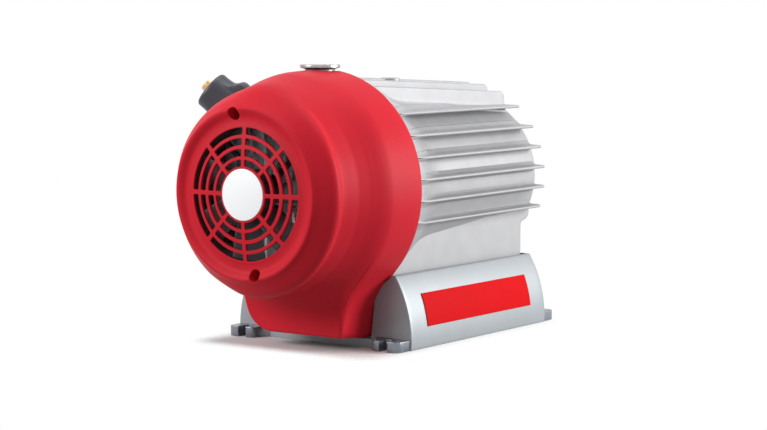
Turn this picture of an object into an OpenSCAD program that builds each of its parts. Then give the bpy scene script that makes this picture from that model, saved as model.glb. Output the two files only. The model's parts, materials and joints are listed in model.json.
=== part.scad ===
// Dry scroll vacuum pump with a round fan hood, a finned motor housing and a cast base.
// Millimetres, +Z up, the fan side faces -Y. The origin lies on the floor, in the
// middle of the four mounting slots of the base. Everything on the pump axis is
// placed by its distance behind the front face of the hub disc (names end in _d).

/* [Pump axis] */
// Height of the shaft above the floor
axis_h = 155.3; // [154:0.1:157]
// Distance of the hub disc's front face ahead of the slot pattern's centre
hub_dist = 255; // [253:0.5:257]

/* [Fan hood] */
// Outer radius of the hood's rear rim
hood_r = 116.2; // [115.5:0.1:117]
// Depth of the hood from the hub disc to its rear rim
hood_depth = 131; // [129:0.5:133]
// Wall of the hood
hood_wall = 2.8; // [2.4:0.1:3.2]
// Half width of the skirt at the height of the floor
skirt_half_w = 56; // [55:0.5:57]
// Growth of the skirt's half width per unit of height
skirt_draft = 0.12; // [0.1:0.01:0.14]
// Distance of the skirt's front face behind the hub disc
skirt_front_d = 78; // [76:0.5:82]
// Height of the skirt's lower edge above the floor
skirt_bottom = 13.5; // [12.5:0.5:15]
// Corner radius of the skirt's lower left corner
skirt_left_r = 34; // [30:1:36]
// Corner radius of the skirt's lower right corner
skirt_right_r = 6; // [5:0.5:8]
// Radius of the white hub disc
hub_disc_r = 24.6; // [24:0.1:25.2]
// Thickness of the white hub disc
hub_disc_t = 1.6; // [1.2:0.1:2]
// Number of grille spokes
spokes = 8; // [6:1:10]
// Width of a grille spoke at the hub
spoke_w = 3.8; // [3.2:0.1:4.4]
// Width of a grille spoke at the outermost ring
spoke_w_outer = 4.8; // [4.2:0.1:5.4]
// Inner radii of the four rings of slots
slot_r_in = [26.7, 36.3, 46.8, 56.7];
// Outer radii of the four rings of slots
slot_r_out = [33.2, 43.2, 53.4, 63.6];
// Radius on which the two hood screws sit
hood_screw_pcr = 77.2; // [77:0.1:77.4]
// Angle of the upper hood screw above the +X side
hood_screw_angle = 99; // [96:1:101]
// Radius of the two access holes of the hood screws
access_r = 6.2; // [5.8:0.1:6.4]

/* [Cooling fan] */
// Radius of the fan's blade tips
blade_tip_r = 64.5; // [63:0.5:65]
// Number of blades
blades = 7; // [5:1:9]
// Angle between a blade and the plane of rotation
blade_pitch = 34; // [28:1:38]
// Radius of the rotating hub
fan_hub_r = 23; // [21:0.5:24]
// Length of the fan frame along the axis
fan_frame_l = 26; // [25:0.5:27]

/* [Scroll set] */
// Base circle radius of the involute; a wrap's pitch is 2 pi times this
involute_r = 2.9; // [2.85:0.01:2.92]
// Thickness of a wrap's wall
wrap_t = 4.1; // [3.9:0.05:4.15]
// Height of a wrap
wrap_h = 25; // [23:0.5:27]
// Involute angle at the inner end of a wrap, in degrees
wrap_start = 210; // [195:15:240]
// Involute angle at the outer end of a wrap, in degrees
wrap_end = 1545; // [1485:15:1545]
// Clearance between the flanks of the two wraps
flank_gap = 0.3; // [0.25:0.01:0.35]
// Clearance between a wrap's tip and the floor opposite
tip_gap = 0.3; // [0.2:0.05:0.4]
// Thickness of the plate of each scroll
plate_t = 9.7; // [9:0.1:10.5]
// Radius of the orbiting plate
orbit_plate_r = 82; // [81.5:0.1:82.5]
// Distance of the fixed scroll's plate behind the hub disc
scroll_d = 62; // [61:0.5:63]
// Number of tall cooling fins on the fixed scroll's front
front_fins = 10; // [8:2:12]
// Thickness of a front cooling fin
front_fin_t = 2.6; // [2:0.1:3.2]
// Height of the front cooling fins
front_fin_h = 16; // [14:0.5:17]

/* [Housing] */
// Radius of the flange that carries the fixed scroll
flange_r = 105.5; // [105:0.1:106]
// Thickness of each of the two flanges
flange_t = 10; // [9:0.5:11]
// Greatest radius of the bowl round the orbiting scroll
bowl_r = 107.5; // [107:0.1:108.5]
// Inner radius of the bowl
bowl_bore_r = 89.6; // [89:0.1:90]
// Thickness of the wall that carries the main bearing
main_wall_t = 18; // [17:0.5:19]
// Radius of the motor drum at its rear end
drum_rear_r = 82.5; // [82:0.1:83.5]
// Radius of the drum's bore
drum_bore_r = 77; // [76:0.1:77.2]
// Distance of the drum's rear end behind the hub disc
drum_end_d = 396; // [394:0.5:398]
// Radius of the fins' tips beside the hood
fin_tip_front_r = 107; // [106:0.1:108]
// Radius of the fins' tips at the rear end
fin_tip_rear_r = 95; // [94:0.1:96]
// Height of the lowest side fin above the floor
fin_low_z = 122.4; // [121:0.1:123]
// Pitch of the side fins
fin_pitch = 21.2; // [20.8:0.1:21.4]
// Number of side fins
side_fins = 6; // [4:1:6]
// Thickness of a fin at its root
fin_root_t = 4.6; // [4:0.1:5]
// Thickness of a fin at its tip
fin_tip_t = 2.4; // [2:0.1:2.8]
// Radius of the fins' rear corners
fin_corner_r = 5; // [3:0.5:7]
// Number of top fins
top_fins = 5; // [3:2:5]
// Half width of the pedestal under the drum
pedestal_half_w = 67; // [66:0.5:68]
// Half width of the pedestal at its front end
pedestal_front_half_w = 78; // [76:0.5:79]

/* [Shaft and bearings] */
// Radius of the main bearing's bore
main_brg_r_in = 15; // [14.5:0.1:15.5]
// Outer radius of the main bearing
main_brg_r_out = 27.5; // [26.5:0.1:28.5]
// Width of the main bearing
main_brg_w = 13; // [12:0.5:13.5]
// Radius of the crank bearing's bore
crank_brg_r_in = 10; // [9.5:0.1:10]
// Outer radius of the crank bearing
crank_brg_r_out = 17.5; // [17:0.1:18]
// Width of the crank bearing
crank_brg_w = 14; // [13:0.5:15]
// Radius of the rear bearing's bore
rear_brg_r_in = 10; // [9.5:0.1:10.5]
// Outer radius of the rear bearing
rear_brg_r_out = 21; // [20.5:0.1:22]
// Width of the rear bearing
rear_brg_w = 12; // [11:0.5:13]
// Radius of an idler bearing's bore
idler_brg_r_in = 4; // [3.8:0.1:4.2]
// Outer radius of an idler bearing
idler_brg_r_out = 8; // [7.8:0.1:8.4]
// Width of an idler bearing
idler_brg_w = 5; // [4.6:0.1:5.2]
// Radius on which the three idler cranks sit
idler_pcr = 60; // [58:0.5:62]
// Radial clearance of a running or sliding fit
fit = 0.03; // [0.02:0.01:0.04]

/* [Motor] */
// Radius of the rotor
rotor_r = 45; // [44:0.1:45.5]
// Air gap between rotor and stator
air_gap = 0.6; // [0.5:0.1:0.8]
// Length of the laminated cores
core_l = 80; // [76:1:84]
// Distance of the cores behind the hub disc
core_d = 196; // [193:0.5:199]
// Number of stator slots
stator_slots = 12; // [9:1:12]
// Length of a winding's end turns beyond the core
end_turn_l = 18; // [15:0.5:20]

/* [Ports] */
// Distance of the inlet flange's axis behind the hub disc
inlet_d = 122.5; // [122:0.1:123]
// Height of the inlet flange's face above the floor
inlet_top_z = 276.3; // [276:0.1:277]
// Distance of the exhaust flange's axis behind the hub disc
exhaust_d = 172; // [171:0.5:173]
// Height of the exhaust flange's face above the floor
exhaust_top_z = 261; // [260.5:0.1:262]
// Distance of the lifting plug's axis behind the hub disc
plug_d = 243; // [241:0.5:245]
// Radius of the lifting plug
plug_r = 9.7; // [9:0.1:10.5]
// Height of the lifting plug's top above the floor
plug_top_z = 261.2; // [260.5:0.1:262]

/* [Gas ballast valve] */
// Angle of the valve's seat on the housing above the +X side
valve_seat_angle = 143.2; // [142:0.2:145]
// Distance of the valve's seat behind the hub disc
valve_seat_d = 115; // [114:0.5:116]
// Tilt of the valve's axis toward the fan side
valve_tilt = 25; // [23:1:27]
// Rise of the valve's axis above the horizontal
valve_rise = 39.5; // [38:0.5:41]
// Distance of the knob's end face from the seat
valve_l = 53.4; // [52:0.2:55]
// Radius of the knob's barrel
knob_r = 19.6; // [19:0.1:20]
// Radius reached by the knob's two grip wings
knob_wing_r = 28.5; // [27:0.5:30]

/* [Base] */
// Half width of the base between its rounded flanks at the top
base_top_half_w = 88; // [87:0.5:89]
// Height of the base's top edges
base_h = 72; // [71.5:0.1:72.5]
// Radius of the rounded flanks
flank_r = 121.3; // [120:0.1:123]
// Height of the flanks' centre of curvature above the floor
flank_centre_z = 6.6; // [6:0.1:7.2]
// Distance of the base's front end behind the hub disc
base_front_d = 126; // [125.5:0.1:127]
// Length of the base without its lugs
base_l = 252; // [250:0.5:254]
// Wall of the base
base_wall = 5; // [4.5:0.1:5.5]
// Spacing of the mounting slots across the base
slot_span_x = 175; // [173:0.5:177]
// Spacing of the mounting slots along the base
slot_span_y = 278; // [277:0.5:279]
// Width of a mounting slot
slot_w = 9.5; // [9:0.1:10]
// Thickness of the four lugs
lug_t = 10.5; // [9.5:0.1:11]
// Width of a lug from its slot's centre inward
lug_inner_w = 14; // [13:0.5:15]
// Width of a lug from its slot's centre outward
lug_outer_w = 18; // [17:0.5:19]
// Length of a front lug beyond its slot's centre
lug_nose = 10.3; // [9.5:0.1:11]
// Length of a rear lug beyond its slot's centre
rear_lug_nose = 6; // [5.5:0.1:7]
// Length of the plain red plate on the right flank
plate_l = 193.5; // [190:0.5:198]
// Lower edge of the red plate above the floor
plate_low_z = 20.9; // [19.5:0.1:21.5]
// Upper edge of the red plate above the floor
plate_high_z = 52.8; // [52:0.1:54.5]

/* [Rear cover] */
// Radius of the rear cover
cover_r = 80; // [79.5:0.1:80.5]
// Thickness of the rear cover's plate
cover_t = 4; // [3.6:0.1:4.2]
// Depth of the cover's rim inside the drum
cover_rim_l = 10; // [8:0.5:12]
// Travel of a key
key_travel = 0.8; // [0.6:0.1:1]
// Radius of a key
key_r = 4.6; // [4.2:0.1:4.8]
// Angle that the mains switch tilts to each side
switch_tilt = 8; // [6:0.5:9]

/* [Hidden] */
$fn = 96;

// Overrun of every cut
over = 1;
// Share of a line that one pass of corner cutting takes off at each end
corner_share = 0.25;
// Clearance between fixed neighbours that are slipped together
slip = 0.3;

// Screws
m6_r = 3;
m6_head_r = 4.8;
m6_head_h = 6;
m4_r = 2;
m4_head_r = 3.5;
m4_head_h = 4;
m8_r = 4;
m8_head_r = 6.5;
m8_head_h = 8;
hole_gap = 0.4;
hex_share = 0.5;

// Hood
hood_outline_shares = [[0, 0.0031], [0.2195, 0.0031], [0.387, 0.0122], [0.547, 0.0298],
    [0.598, 0.0374], [0.637, 0.0351], [0.6627, 0.0198], [0.684, 0.0092], [0.71, 0.0107],
    [0.7229, 0.0305], [0.7255, 0.0458], [0.7358, 0.1069], [0.7573, 0.145], [0.8003, 0.1771],
    [0.8434, 0.2], [0.8761, 0.229], [0.8933, 0.2748], [0.9079, 0.3359], [0.9294, 0.4046],
    [0.9535, 0.4733], [0.9587, 0.4916], [0.9535, 0.5008], [0.9673, 0.5153], [0.9811, 0.6107],
    [0.9923, 0.7634], [1, 0.9313], [1, 1]];
hub_recess_gap = 0.25;
access_boss_r = 8;
access_boss_d = 26;
access_floor_t = 3;
standoff_clear_l = 12;
fan_seat_d = 10;
fan_seat_t = 4;
skirt_top_share = 0.5;
neck_notch_r = 17.5;
valve_notch_r = 15;
standoff_r = 5;

// Fan
fan_bore_gap = 1.5;
fan_frame_t = 3;
fan_strut_w = 5;
fan_strut_t = 3;
fan_struts = 4;
strut_turn = 45;
fan_cup_r = 20;
fan_axle_r = 3;
fan_brg_r = 6;
fan_brg_w = 4;
fan_hub_l = 14;
fan_hub_gap = 2.5;
blade_t = 1.8;
blade_l = 15;
fan_frame_d = fan_seat_d;
fan_back_d = fan_frame_d + fan_frame_l;
fan_cup_l = 10;
fan_cup_d = fan_back_d - fan_cup_l;
fan_hub_d = fan_cup_d - fan_hub_gap + slip - fan_hub_l + over;

// Scrolls
wrap_step = 15;
joint_d = scroll_d + plate_t + tip_gap + wrap_h;
wrap_shift = wrap_t / (2 * involute_r);
crank_e = PI * involute_r - wrap_t - flank_gap;
orbit_face_d = joint_d + tip_gap;
orbit_back_d = orbit_face_d + plate_t;
fixed_floor_d = scroll_d + plate_t;
fixed_wall_r = 87.6;
fixed_body_r = 94;
seal_w = 1.8;
seal_h = 1.6;
groove_start_turn = 45;
groove_end_turn = 30;
seal_end_turn = 15;
seal_gap = 0.1;
flange_screw_pcr = 99.6;
flange_screws = 8;
flange_screw_turn = 22.5;
flange_screw_l = 20;
discharge_r = 4.5;
gallery_angle = 78;
gallery_pcr = 97;
gallery_r = 3.5;
cross_bore_r = 3;
gallery_rib_r = 6.5;
channel_w = 12;
channel_h = 12;
port_hub_r = 11.5;
o_ring_pcr = 91.8;
o_ring_r = 1;
o_ring_side_gap = 0.2;
orbit_hub_r = 25;
orbit_hub_l = 21;
orbit_rib_t = 4;
orbit_rib_h = 6;
orbit_ribs = 6;
idler_boss_r = 12.5;
idler_boss_l = 14;
idler_angles = [90, 210, 330];
wall_gap = 2;
wall_d = orbit_back_d + orbit_hub_l + wall_gap;

// Shaft
pin_end_l = 1.5;
crank_pin_l = crank_brg_w + 2 * pin_end_l;
shoulder_r = 18;
shoulder_bore_gap = 1;
main_brg_d = wall_d + main_wall_t - main_brg_w;
wall_back_d = wall_d + main_wall_t;
weight_r = 50;
front_weight_angle = 134;
rear_weight_angle = 68;
weight_hub_r = 21;
weight_t = 14;
rear_weight_t = 7;
weight_gap = 6;
rotor_shaft_r = 14;
rear_shaft_step = 2;
front_weight_d = wall_back_d + weight_gap;
rear_weight_d = core_d + core_l + end_turn_l + weight_gap;
end_bell_d = rear_weight_d + rear_weight_t + 2 * weight_gap;
end_bell_t = 22;
end_bell_step = 1;
end_bell_gap = 0.1;
end_bell_post_h = 12;
end_bell_post_r = 4;
end_bell_post_pcr = 58;
end_bell_posts = 4;
end_bell_post_turn = 45;
end_bell_screw_count = 4;
rear_brg_d = end_bell_d + weight_gap;
idler_web_r = 11;
idler_web_t = 4;
idler_web_d = wall_d - idler_web_t - wall_gap / 2;
idler_pin_l = idler_brg_w + pin_end_l;
race_share = 0.36;
race_depth = 0.7;
retainer_t = 3;
retainer_r = 36;
retainer_r_in = 23;
retainer_pcr = 31.5;
retainer_screws = 3;

// Motor
stator_gap = 0.05;
stator_r = drum_bore_r - stator_gap;
slot_floor_r = 68;
slot_top_r = 50;
slot_mouth_w = 4;
slot_top_w = 14;
slot_floor_w = 22;
winding_gap = 0.3;
end_turn_r_in = 49;
end_turn_r_out = 71;
end_turn_corner = 5;
rotor_end_ring_t = 4;
magnet_slots = 4;
magnet_turn = 45;
magnet_w = 40;
magnet_t = 4;
magnet_pcr = 34;

// Housing
housing_outline_shares = [[0, 0], [0.985, 0], [0.985, 0.03], [0.992, 0.05], [1, 0.1], [0.998, 0.15],
    [0.975, 0.19], [0.93, 0.23], [0.88, 0.275], [0.852, 0.33], [0.842, 0.42]];
housing_l = drum_end_d - joint_d;
fin_start_d = 137;
pedestal_front_d = 134;
deck_inset = 3;
deck_z = base_h - deck_inset;
pedestal_knee_share = 0.42;
pedestal_lip_half_w = 77;
pedestal_lip_low_z = 104;
pedestal_lip_high_z = 129;
pedestal_lip_round = 8;
pedestal_wall = 7;
pedestal_roof_z = 100;
port_boss_r = 17;
port_boss_flat_z = 264.5;

// Small flange fittings
kf25_r = 20;
kf25_rim = 3;
kf25_neck_r = 15;
kf25_bore_r = 13;
kf16_r = 15;
kf16_rim = 2.6;
kf16_neck_r = 10.5;
kf16_bore_r = 8;
kf16_l = 5.2;
port_step = 0.5;
kf_slope = 0.268;
kf_seat_depth = 8;

// Valve
valve_stem_r = 10;
valve_collar_r = 13.5;
valve_collar_l = 5;
valve_spigot_l = 7;
valve_spindle_r = 6;
valve_spindle_l = 12;
valve_bore_r = 3.5;
knob_start_share = 0.36;
knob_wing_start_share = 0.40;
knob_wing_end_share = 0.58;
knob_wing_w = 26;
knob_flare_end_share = 0.76;
knob_round = 3;
filter_r = 7;
filter_l = 6.5;
filter_wall = 1.5;
filter_seat_l = 4;
valve_seat_r = 104;

// Base
deck_t = 8;
deck_lip = 4.5;
floor_strip_h = 9;
floor_strip_d = 122.8;
hood_clear = 2;
base_front_wall = 5;
rib_t = 6;
base_screw_x = 50;
base_screw_y = 80;
base_screw_mid_d = 266;
base_screw_l = 22;
lug_corner_r = 9;
lug_inner_r = 4;
lug_fillet_r = 9;
plate_start_d = 155.2;
plate_t_red = 0.8;
glue_t = 0.15;

// Rear cover
cover_rim_gap = 0.25;
cover_rim_wall = 4;
cover_screws = 6;
cover_screw_pcr = 70.5;
cover_screw_turn = 30;
cover_boss_r = 5;
window_w = 46;
window_h = 20;
window_z = 34;
keys = 4;
key_pitch = 16;
key_z = 10;
key_flange_r = 5.8;
key_flange_t = 1;
key_proud = 1.4;
switch_x = 34;
switch_z = -32;
switch_w = 15;
switch_h = 22;
switch_depth = 16;
rocker_pin_r = 1.5;
rocker_pin_depth = 4;
socket_rim = 2;
socket_wall = 2;
rim_t = 1.5;
inlet_x = -14;
inlet_z = -34;
inlet_w = 30;
inlet_h = 24;
inlet_depth = 22;
pin_w = 2;
pin_h = 4;
pin_l = 15;
pin_stagger = 4;
pin_pitch = 7;
connector_x = 0;
connector_z = -9;
connector_w = 36;
connector_h = 11;
connector_depth = 11;
board_t = 1.6;
board_r = 68;
part_h = 20;
part_r = 8;
part_row_y = 22;
chip_row_y = 17;
chip_w = 14;
chip_t = 7;

// Places that follow from the sizes above
hub_y = -hub_dist;
hub_z = axis_h;
cover_face_d = drum_end_d + cover_t;
slot_front_d = hub_dist - slot_span_y / 2;
slot_rear_d = hub_dist + slot_span_y / 2;

// Puts its children on the pump axis: local z runs backward from the hub disc,
// local x is +X and local y points down.
module on_axis() {
    translate([0, hub_y, hub_z]) rotate([-90, 0, 0]) children();
}

// Places its children at an angle above +X and a radius from the axis.
module at_polar(angle, radius) {
    rotate([0, 0, -angle]) translate([radius, 0, 0]) children();
}

// Moves its children along the axis.
module at(d) {
    translate([0, 0, d]) children();
}

// A ring from d_start, l long.
module ring(r_out, r_in, d_start, l) {
    at(d_start) difference() {
        cylinder(r = r_out, h = l);
        at(-over) cylinder(r = r_in, h = l + 2 * over);
    }
}

// A cap screw: its shank runs to +Z from the origin, its head lies behind the origin.
module cap_screw(shank_r, shank_l, head_r, head_h) {
    cylinder(r = shank_r, h = shank_l);
    difference() {
        at(-head_h) cylinder(r = head_r, h = head_h);
        at(-head_h - over) cylinder(r = shank_r * 2 * hex_share, h = head_h * hex_share + over, $fn = 6);
    }
}

// A ball bearing in section: two rings, joined by a recessed cage.
module ball_bearing(r_in, r_out, w) {
    t = r_out - r_in;
    rotate_extrude() polygon([[r_in, 0], [r_in + t * race_share, 0],
        [r_in + t * race_share, race_depth], [r_out - t * race_share, race_depth],
        [r_out - t * race_share, 0], [r_out, 0], [r_out, w], [r_out - t * race_share, w],
        [r_out - t * race_share, w - race_depth], [r_in + t * race_share, w - race_depth],
        [r_in + t * race_share, w], [r_in, w]]);
}

// Cuts the corners of an open line of points once; twice gives a smooth curve.
function cut_corners(p) = [p[0], for (i = [0 : len(p) - 2])
    let (q = (p[i + 1] - p[i]) * corner_share) each [p[i] + q, p[i + 1] - q], p[len(p) - 1]];

// One flank of a wrap: the involute of the base circle, started early or late by shift.
function involute_point(a, shift) = let (rad = a * PI / 180 + shift)
    involute_r * [cos(a) + rad * sin(a), sin(a) - rad * cos(a)];

// The outline of a wrap, inset on both flanks and shortened at both ends.
function wrap_outline(inset_share, from, to) = let (s = wrap_shift * inset_share)
    concat([for (a = [from : wrap_step : to]) involute_point(a, s)],
        [for (a = [to : -wrap_step : from]) involute_point(a, -s)]);

module wrap(inset_share, from, to, h) {
    linear_extrude(height = h) polygon(wrap_outline(inset_share, from, to));
}

// The hood's outer line and the same line moved inward by the wall.
hood_line = cut_corners([for (s = hood_outline_shares) [s[0] * hood_r, s[1] * hood_depth]]);
function hood_inner(p) = [max(0, p[0] - hood_wall), p[1] + hood_wall];

// The outer line of the housing's bowl and drum.
housing_line = cut_corners(concat([for (s = housing_outline_shares)
    [s[0] * bowl_r, joint_d + s[1] * housing_l]], [[drum_rear_r, drum_end_d]]));

// Half width of the skirt at a height above the floor
function skirt_half(z) = skirt_half_w + skirt_draft * z;

// The skirt's face, seen from the front, grown outward by g.
module skirt_face(g) {
    low = skirt_bottom - g;
    lr = skirt_left_r;
    rr = skirt_right_r;
    xl = -skirt_half(low + lr) - g;
    xr = skirt_half(low + rr) + g;
    top = axis_h * skirt_top_share;
    polygon([[xl + lr, low], [xr - rr, low], [xr, low + rr], [skirt_half(top) + g, top],
        [-skirt_half(top) - g, top], [xl, low + lr]]);
    translate([xl + lr, low + lr]) circle(r = lr);
    translate([xr - rr, low + rr]) circle(r = rr);
}

// A block behind the skirt's face, from one distance behind the hub disc to another.
module skirt_block(g, d_start, d_end) {
    translate([0, hub_y + d_end, 0]) rotate([90, 0, 0])
        linear_extrude(height = d_end - d_start) skirt_face(g);
}

// The frame of the gas ballast valve: local z runs outward from its seat on the housing.
valve_seat = [valve_seat_r * cos(valve_seat_angle), hub_y + valve_seat_d,
    axis_h + valve_seat_r * sin(valve_seat_angle)];
module on_valve() {
    translate(valve_seat) rotate([0, 90 - valve_rise, 180 + valve_tilt]) children();
}

module slot_ring(r_in, r_out) {
    difference() {
        circle(r = r_out);
        circle(r = r_in);
        for (i = [0 : spokes - 1]) rotate([0, 0, i * 360 / spokes])
            polygon([[0, -spoke_w / 2], [slot_r_out[3] + over, -spoke_w_outer / 2],
                [slot_r_out[3] + over, spoke_w_outer / 2], [0, spoke_w / 2]]);
    }
}

module fan_hood() {
    seat_r_out = blade_tip_r + fan_bore_gap + fan_frame_t;
    color([0.78, 0.14, 0.18]) difference() {
        union() {
            on_axis() rotate_extrude() polygon(concat(hood_line, [[0, hood_depth]]));
            skirt_block(0, skirt_front_d, hood_depth);
        }
        difference() {
            union() {
                on_axis() rotate_extrude() polygon(concat([for (p = hood_line) hood_inner(p)],
                    [[hood_r - hood_wall, hood_depth + hood_wall + over],
                    [0, hood_depth + hood_wall + over]]));
                skirt_block(-hood_wall, skirt_front_d + hood_wall, hood_depth + over);
                translate([-skirt_half(0) + skirt_left_r, hub_y + skirt_front_d + hood_wall, 0])
                    cube([2 * skirt_half(0) - skirt_left_r - skirt_right_r,
                        hood_depth - skirt_front_d, skirt_bottom + hood_wall + over]);
            }
            on_axis() {
                ring(seat_r_out, seat_r_out - fan_seat_t, 0, fan_seat_d);
                for (a = [0, 180]) at_polar(hood_screw_angle + a, hood_screw_pcr)
                    cylinder(r = access_boss_r, h = access_boss_d);
            }
        }
        on_axis() {
            at(-over) cylinder(r = hub_disc_r + hub_recess_gap, h = hub_disc_t + over);
            at(-over) linear_extrude(height = fan_seat_d) for (i = [0 : len(slot_r_in) - 1])
                slot_ring(slot_r_in[i], slot_r_out[i]);
            for (a = [0, 180]) at_polar(hood_screw_angle + a, hood_screw_pcr) {
                at(-over) cylinder(r = access_r, h = access_boss_d - access_floor_t + over);
                cylinder(r = m6_r + hole_gap, h = access_boss_d + over);
                at(access_boss_d) cylinder(r = standoff_r + hole_gap, h = standoff_clear_l);
            }
        }
        translate([0, hub_y + inlet_d, axis_h + hood_r / 2]) {
            cylinder(r = neck_notch_r, h = hood_r);
            translate([-neck_notch_r, 0, 0]) cube([2 * neck_notch_r, hood_depth, hood_r]);
        }
        on_valve() {
            notch_l = hood_depth - valve_seat_d + valve_notch_r;
            cylinder(r = valve_notch_r, h = valve_l);
            translate([-valve_notch_r, -notch_l, 0]) cube([2 * valve_notch_r, notch_l, valve_l]);
        }
    }
}

module hub_disc() {
    color([0.95, 0.95, 0.95]) on_axis() {
        cylinder(r = hub_disc_r, h = hub_disc_t);
    }
}

module hood_screws() {
    color([0.35, 0.35, 0.37]) on_axis() for (a = [0, 180])
        at_polar(hood_screw_angle + a, hood_screw_pcr) at(access_boss_d - access_floor_t)
            cap_screw(m6_r, flange_screw_l, m6_head_r, m6_head_h);
}

module hood_standoffs() {
    color([0.6, 0.6, 0.62]) on_axis() for (a = [0, 180])
        at_polar(hood_screw_angle + a, hood_screw_pcr) difference() {
            at(access_boss_d) cylinder(r = standoff_r, h = scroll_d - access_boss_d);
            at(access_boss_d - over)
                cylinder(r = m6_r + fit, h = flange_screw_l + over);
        }
}

module fan_frame() {
    bore = blade_tip_r + fan_bore_gap;
    color([0.12, 0.12, 0.13]) on_axis() difference() {
        union() {
            ring(bore + fan_frame_t, bore, fan_frame_d, fan_frame_l);
            at(fan_cup_d) cylinder(r = fan_cup_r, h = fan_cup_l);
            for (i = [0 : fan_struts - 1]) at_polar(strut_turn + i * 360 / fan_struts, 0)
                at(fan_back_d - fan_strut_t) translate([0, -fan_strut_w / 2, 0])
                    cube([bore + fan_frame_t / 2, fan_strut_w, fan_strut_t]);
        }
        at(fan_cup_d - over) cylinder(r = fan_axle_r + over, h = fan_cup_l - fan_strut_t + over);
        at(fan_cup_d - over) cylinder(r = fan_brg_r, h = fan_brg_w + over);
    }
}

module fan_rotor() {
    color([0.16, 0.16, 0.17]) on_axis() {
        at(fan_hub_d) cylinder(r = fan_hub_r, h = fan_hub_l);
        at(fan_hub_d) cylinder(r = fan_axle_r - fit,
            h = fan_cup_d - fan_hub_d + fan_cup_l - fan_strut_t - over);
        intersection() {
            ring(blade_tip_r, fan_hub_r - over, fan_hub_d, blade_l);
            for (i = [0 : blades - 1]) at_polar(i * 360 / blades, 0)
                at(fan_hub_d + fan_hub_l / 2) rotate([blade_pitch, 0, 0])
                    translate([fan_hub_r - over, -blade_l, -blade_t / 2])
                        cube([blade_tip_r, 2 * blade_l, blade_t]);
        }
    }
}

module fan_bearings() {
    color([0.75, 0.75, 0.77]) on_axis() at(fan_cup_d)
        ball_bearing(fan_axle_r, fan_brg_r, fan_brg_w);
}

module fixed_scroll() {
    fin_zone_r = fixed_body_r - over;
    fin_span = 2 * fin_zone_r / (front_fins + 1);
    color([0.72, 0.73, 0.75]) on_axis() difference() {
        union() {
            at(scroll_d) cylinder(r = fixed_body_r, h = joint_d - scroll_d);
            at(joint_d - flange_t) cylinder(r = flange_r, h = flange_t);
            intersection() {
                at(scroll_d - front_fin_h) cylinder(r = fin_zone_r, h = front_fin_h + over);
                for (i = [1 : front_fins])
                    translate([-fin_zone_r + i * fin_span - front_fin_t / 2, -fin_zone_r,
                        scroll_d - front_fin_h])
                        cube([front_fin_t, 2 * fin_zone_r, front_fin_h + over]);
            }
            at_polar(gallery_angle, 0) at(scroll_d - channel_h)
                translate([0, -channel_w / 2, 0]) cube([gallery_pcr, channel_w, channel_h + over]);
            at(scroll_d - channel_h) cylinder(r = port_hub_r, h = channel_h + over);
            at_polar(gallery_angle, gallery_pcr) at(scroll_d - channel_h)
                cylinder(r = channel_w / 2, h = joint_d - scroll_d + channel_h - over);
        }
        for (a = [0, 180]) at_polar(hood_screw_angle + a, hood_screw_pcr)
            at(scroll_d - front_fin_h - over) cylinder(r = standoff_r + over, h = front_fin_h + over);
        difference() {
            at(fixed_floor_d) cylinder(r = fixed_wall_r, h = joint_d);
            at(fixed_floor_d - over) wrap(1, wrap_start, wrap_end, wrap_h + over);
        }
        at(joint_d - seal_h) wrap(seal_w / wrap_t, wrap_start + groove_start_turn,
            wrap_end - groove_end_turn, wrap_h);
        at(scroll_d - channel_h / 2 - gallery_r) cylinder(r = discharge_r, h = plate_t + channel_h);
        at_polar(gallery_angle, 0) at(scroll_d - channel_h / 2) rotate([0, 90, 0])
            cylinder(r = cross_bore_r, h = gallery_pcr);
        at_polar(gallery_angle, gallery_pcr) at(scroll_d - channel_h / 2 - gallery_r)
            cylinder(r = gallery_r, h = joint_d);
        for (i = [0 : flange_screws - 1])
            at_polar(flange_screw_turn + i * 360 / flange_screws, flange_screw_pcr)
                at(joint_d - flange_t - over) cylinder(r = m6_r + hole_gap, h = flange_t + 2 * over);
    }
}

module tip_seal(d_start) {
    share = (seal_w - seal_gap) / wrap_t;
    at(d_start) wrap(share, wrap_start + groove_start_turn + seal_end_turn,
        wrap_end - groove_end_turn - seal_end_turn, seal_h);
}

module fixed_tip_seal() {
    color([0.93, 0.91, 0.85]) on_axis() tip_seal(joint_d - seal_h);
}

module fixed_scroll_screws() {
    color([0.35, 0.35, 0.37]) on_axis() for (i = [0 : flange_screws - 1])
        at_polar(flange_screw_turn + i * 360 / flange_screws, flange_screw_pcr)
            at(joint_d - flange_t) cap_screw(m6_r, flange_screw_l, m6_head_r, m6_head_h);
}

// Puts its children on the axis of the crank pin.
module on_crank() {
    on_axis() translate([crank_e, 0, 0]) children();
}

module orbiting_scroll() {
    color([0.7, 0.71, 0.73]) on_crank() difference() {
        union() {
            at(orbit_face_d) cylinder(r = orbit_plate_r, h = plate_t);
            at(orbit_back_d - over) cylinder(r = orbit_hub_r, h = orbit_hub_l + over);
            for (a = idler_angles) at_polar(a, idler_pcr) at(orbit_back_d - over)
                cylinder(r = idler_boss_r, h = idler_boss_l + over);
            for (i = [0 : orbit_ribs - 1]) at_polar(i * 360 / orbit_ribs, 0)
                at(orbit_back_d - over) translate([orbit_hub_r - over, -orbit_rib_t / 2, 0])
                    cube([orbit_plate_r - orbit_hub_r - 2 * over, orbit_rib_t, orbit_rib_h + over]);
            at(fixed_floor_d + tip_gap) rotate([0, 0, 180])
                wrap(1, wrap_start, wrap_end, wrap_h + over);
        }
        at(fixed_floor_d + tip_gap - over) rotate([0, 0, 180])
            wrap(seal_w / wrap_t, wrap_start + groove_start_turn, wrap_end - groove_end_turn,
                seal_h + over);
        at(orbit_back_d + orbit_hub_l - crank_pin_l) cylinder(r = crank_brg_r_out, h = wrap_h);
        for (a = idler_angles) at_polar(a, idler_pcr)
            at(orbit_back_d + idler_boss_l - idler_pin_l) cylinder(r = idler_brg_r_out, h = wrap_h);
    }
}

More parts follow.
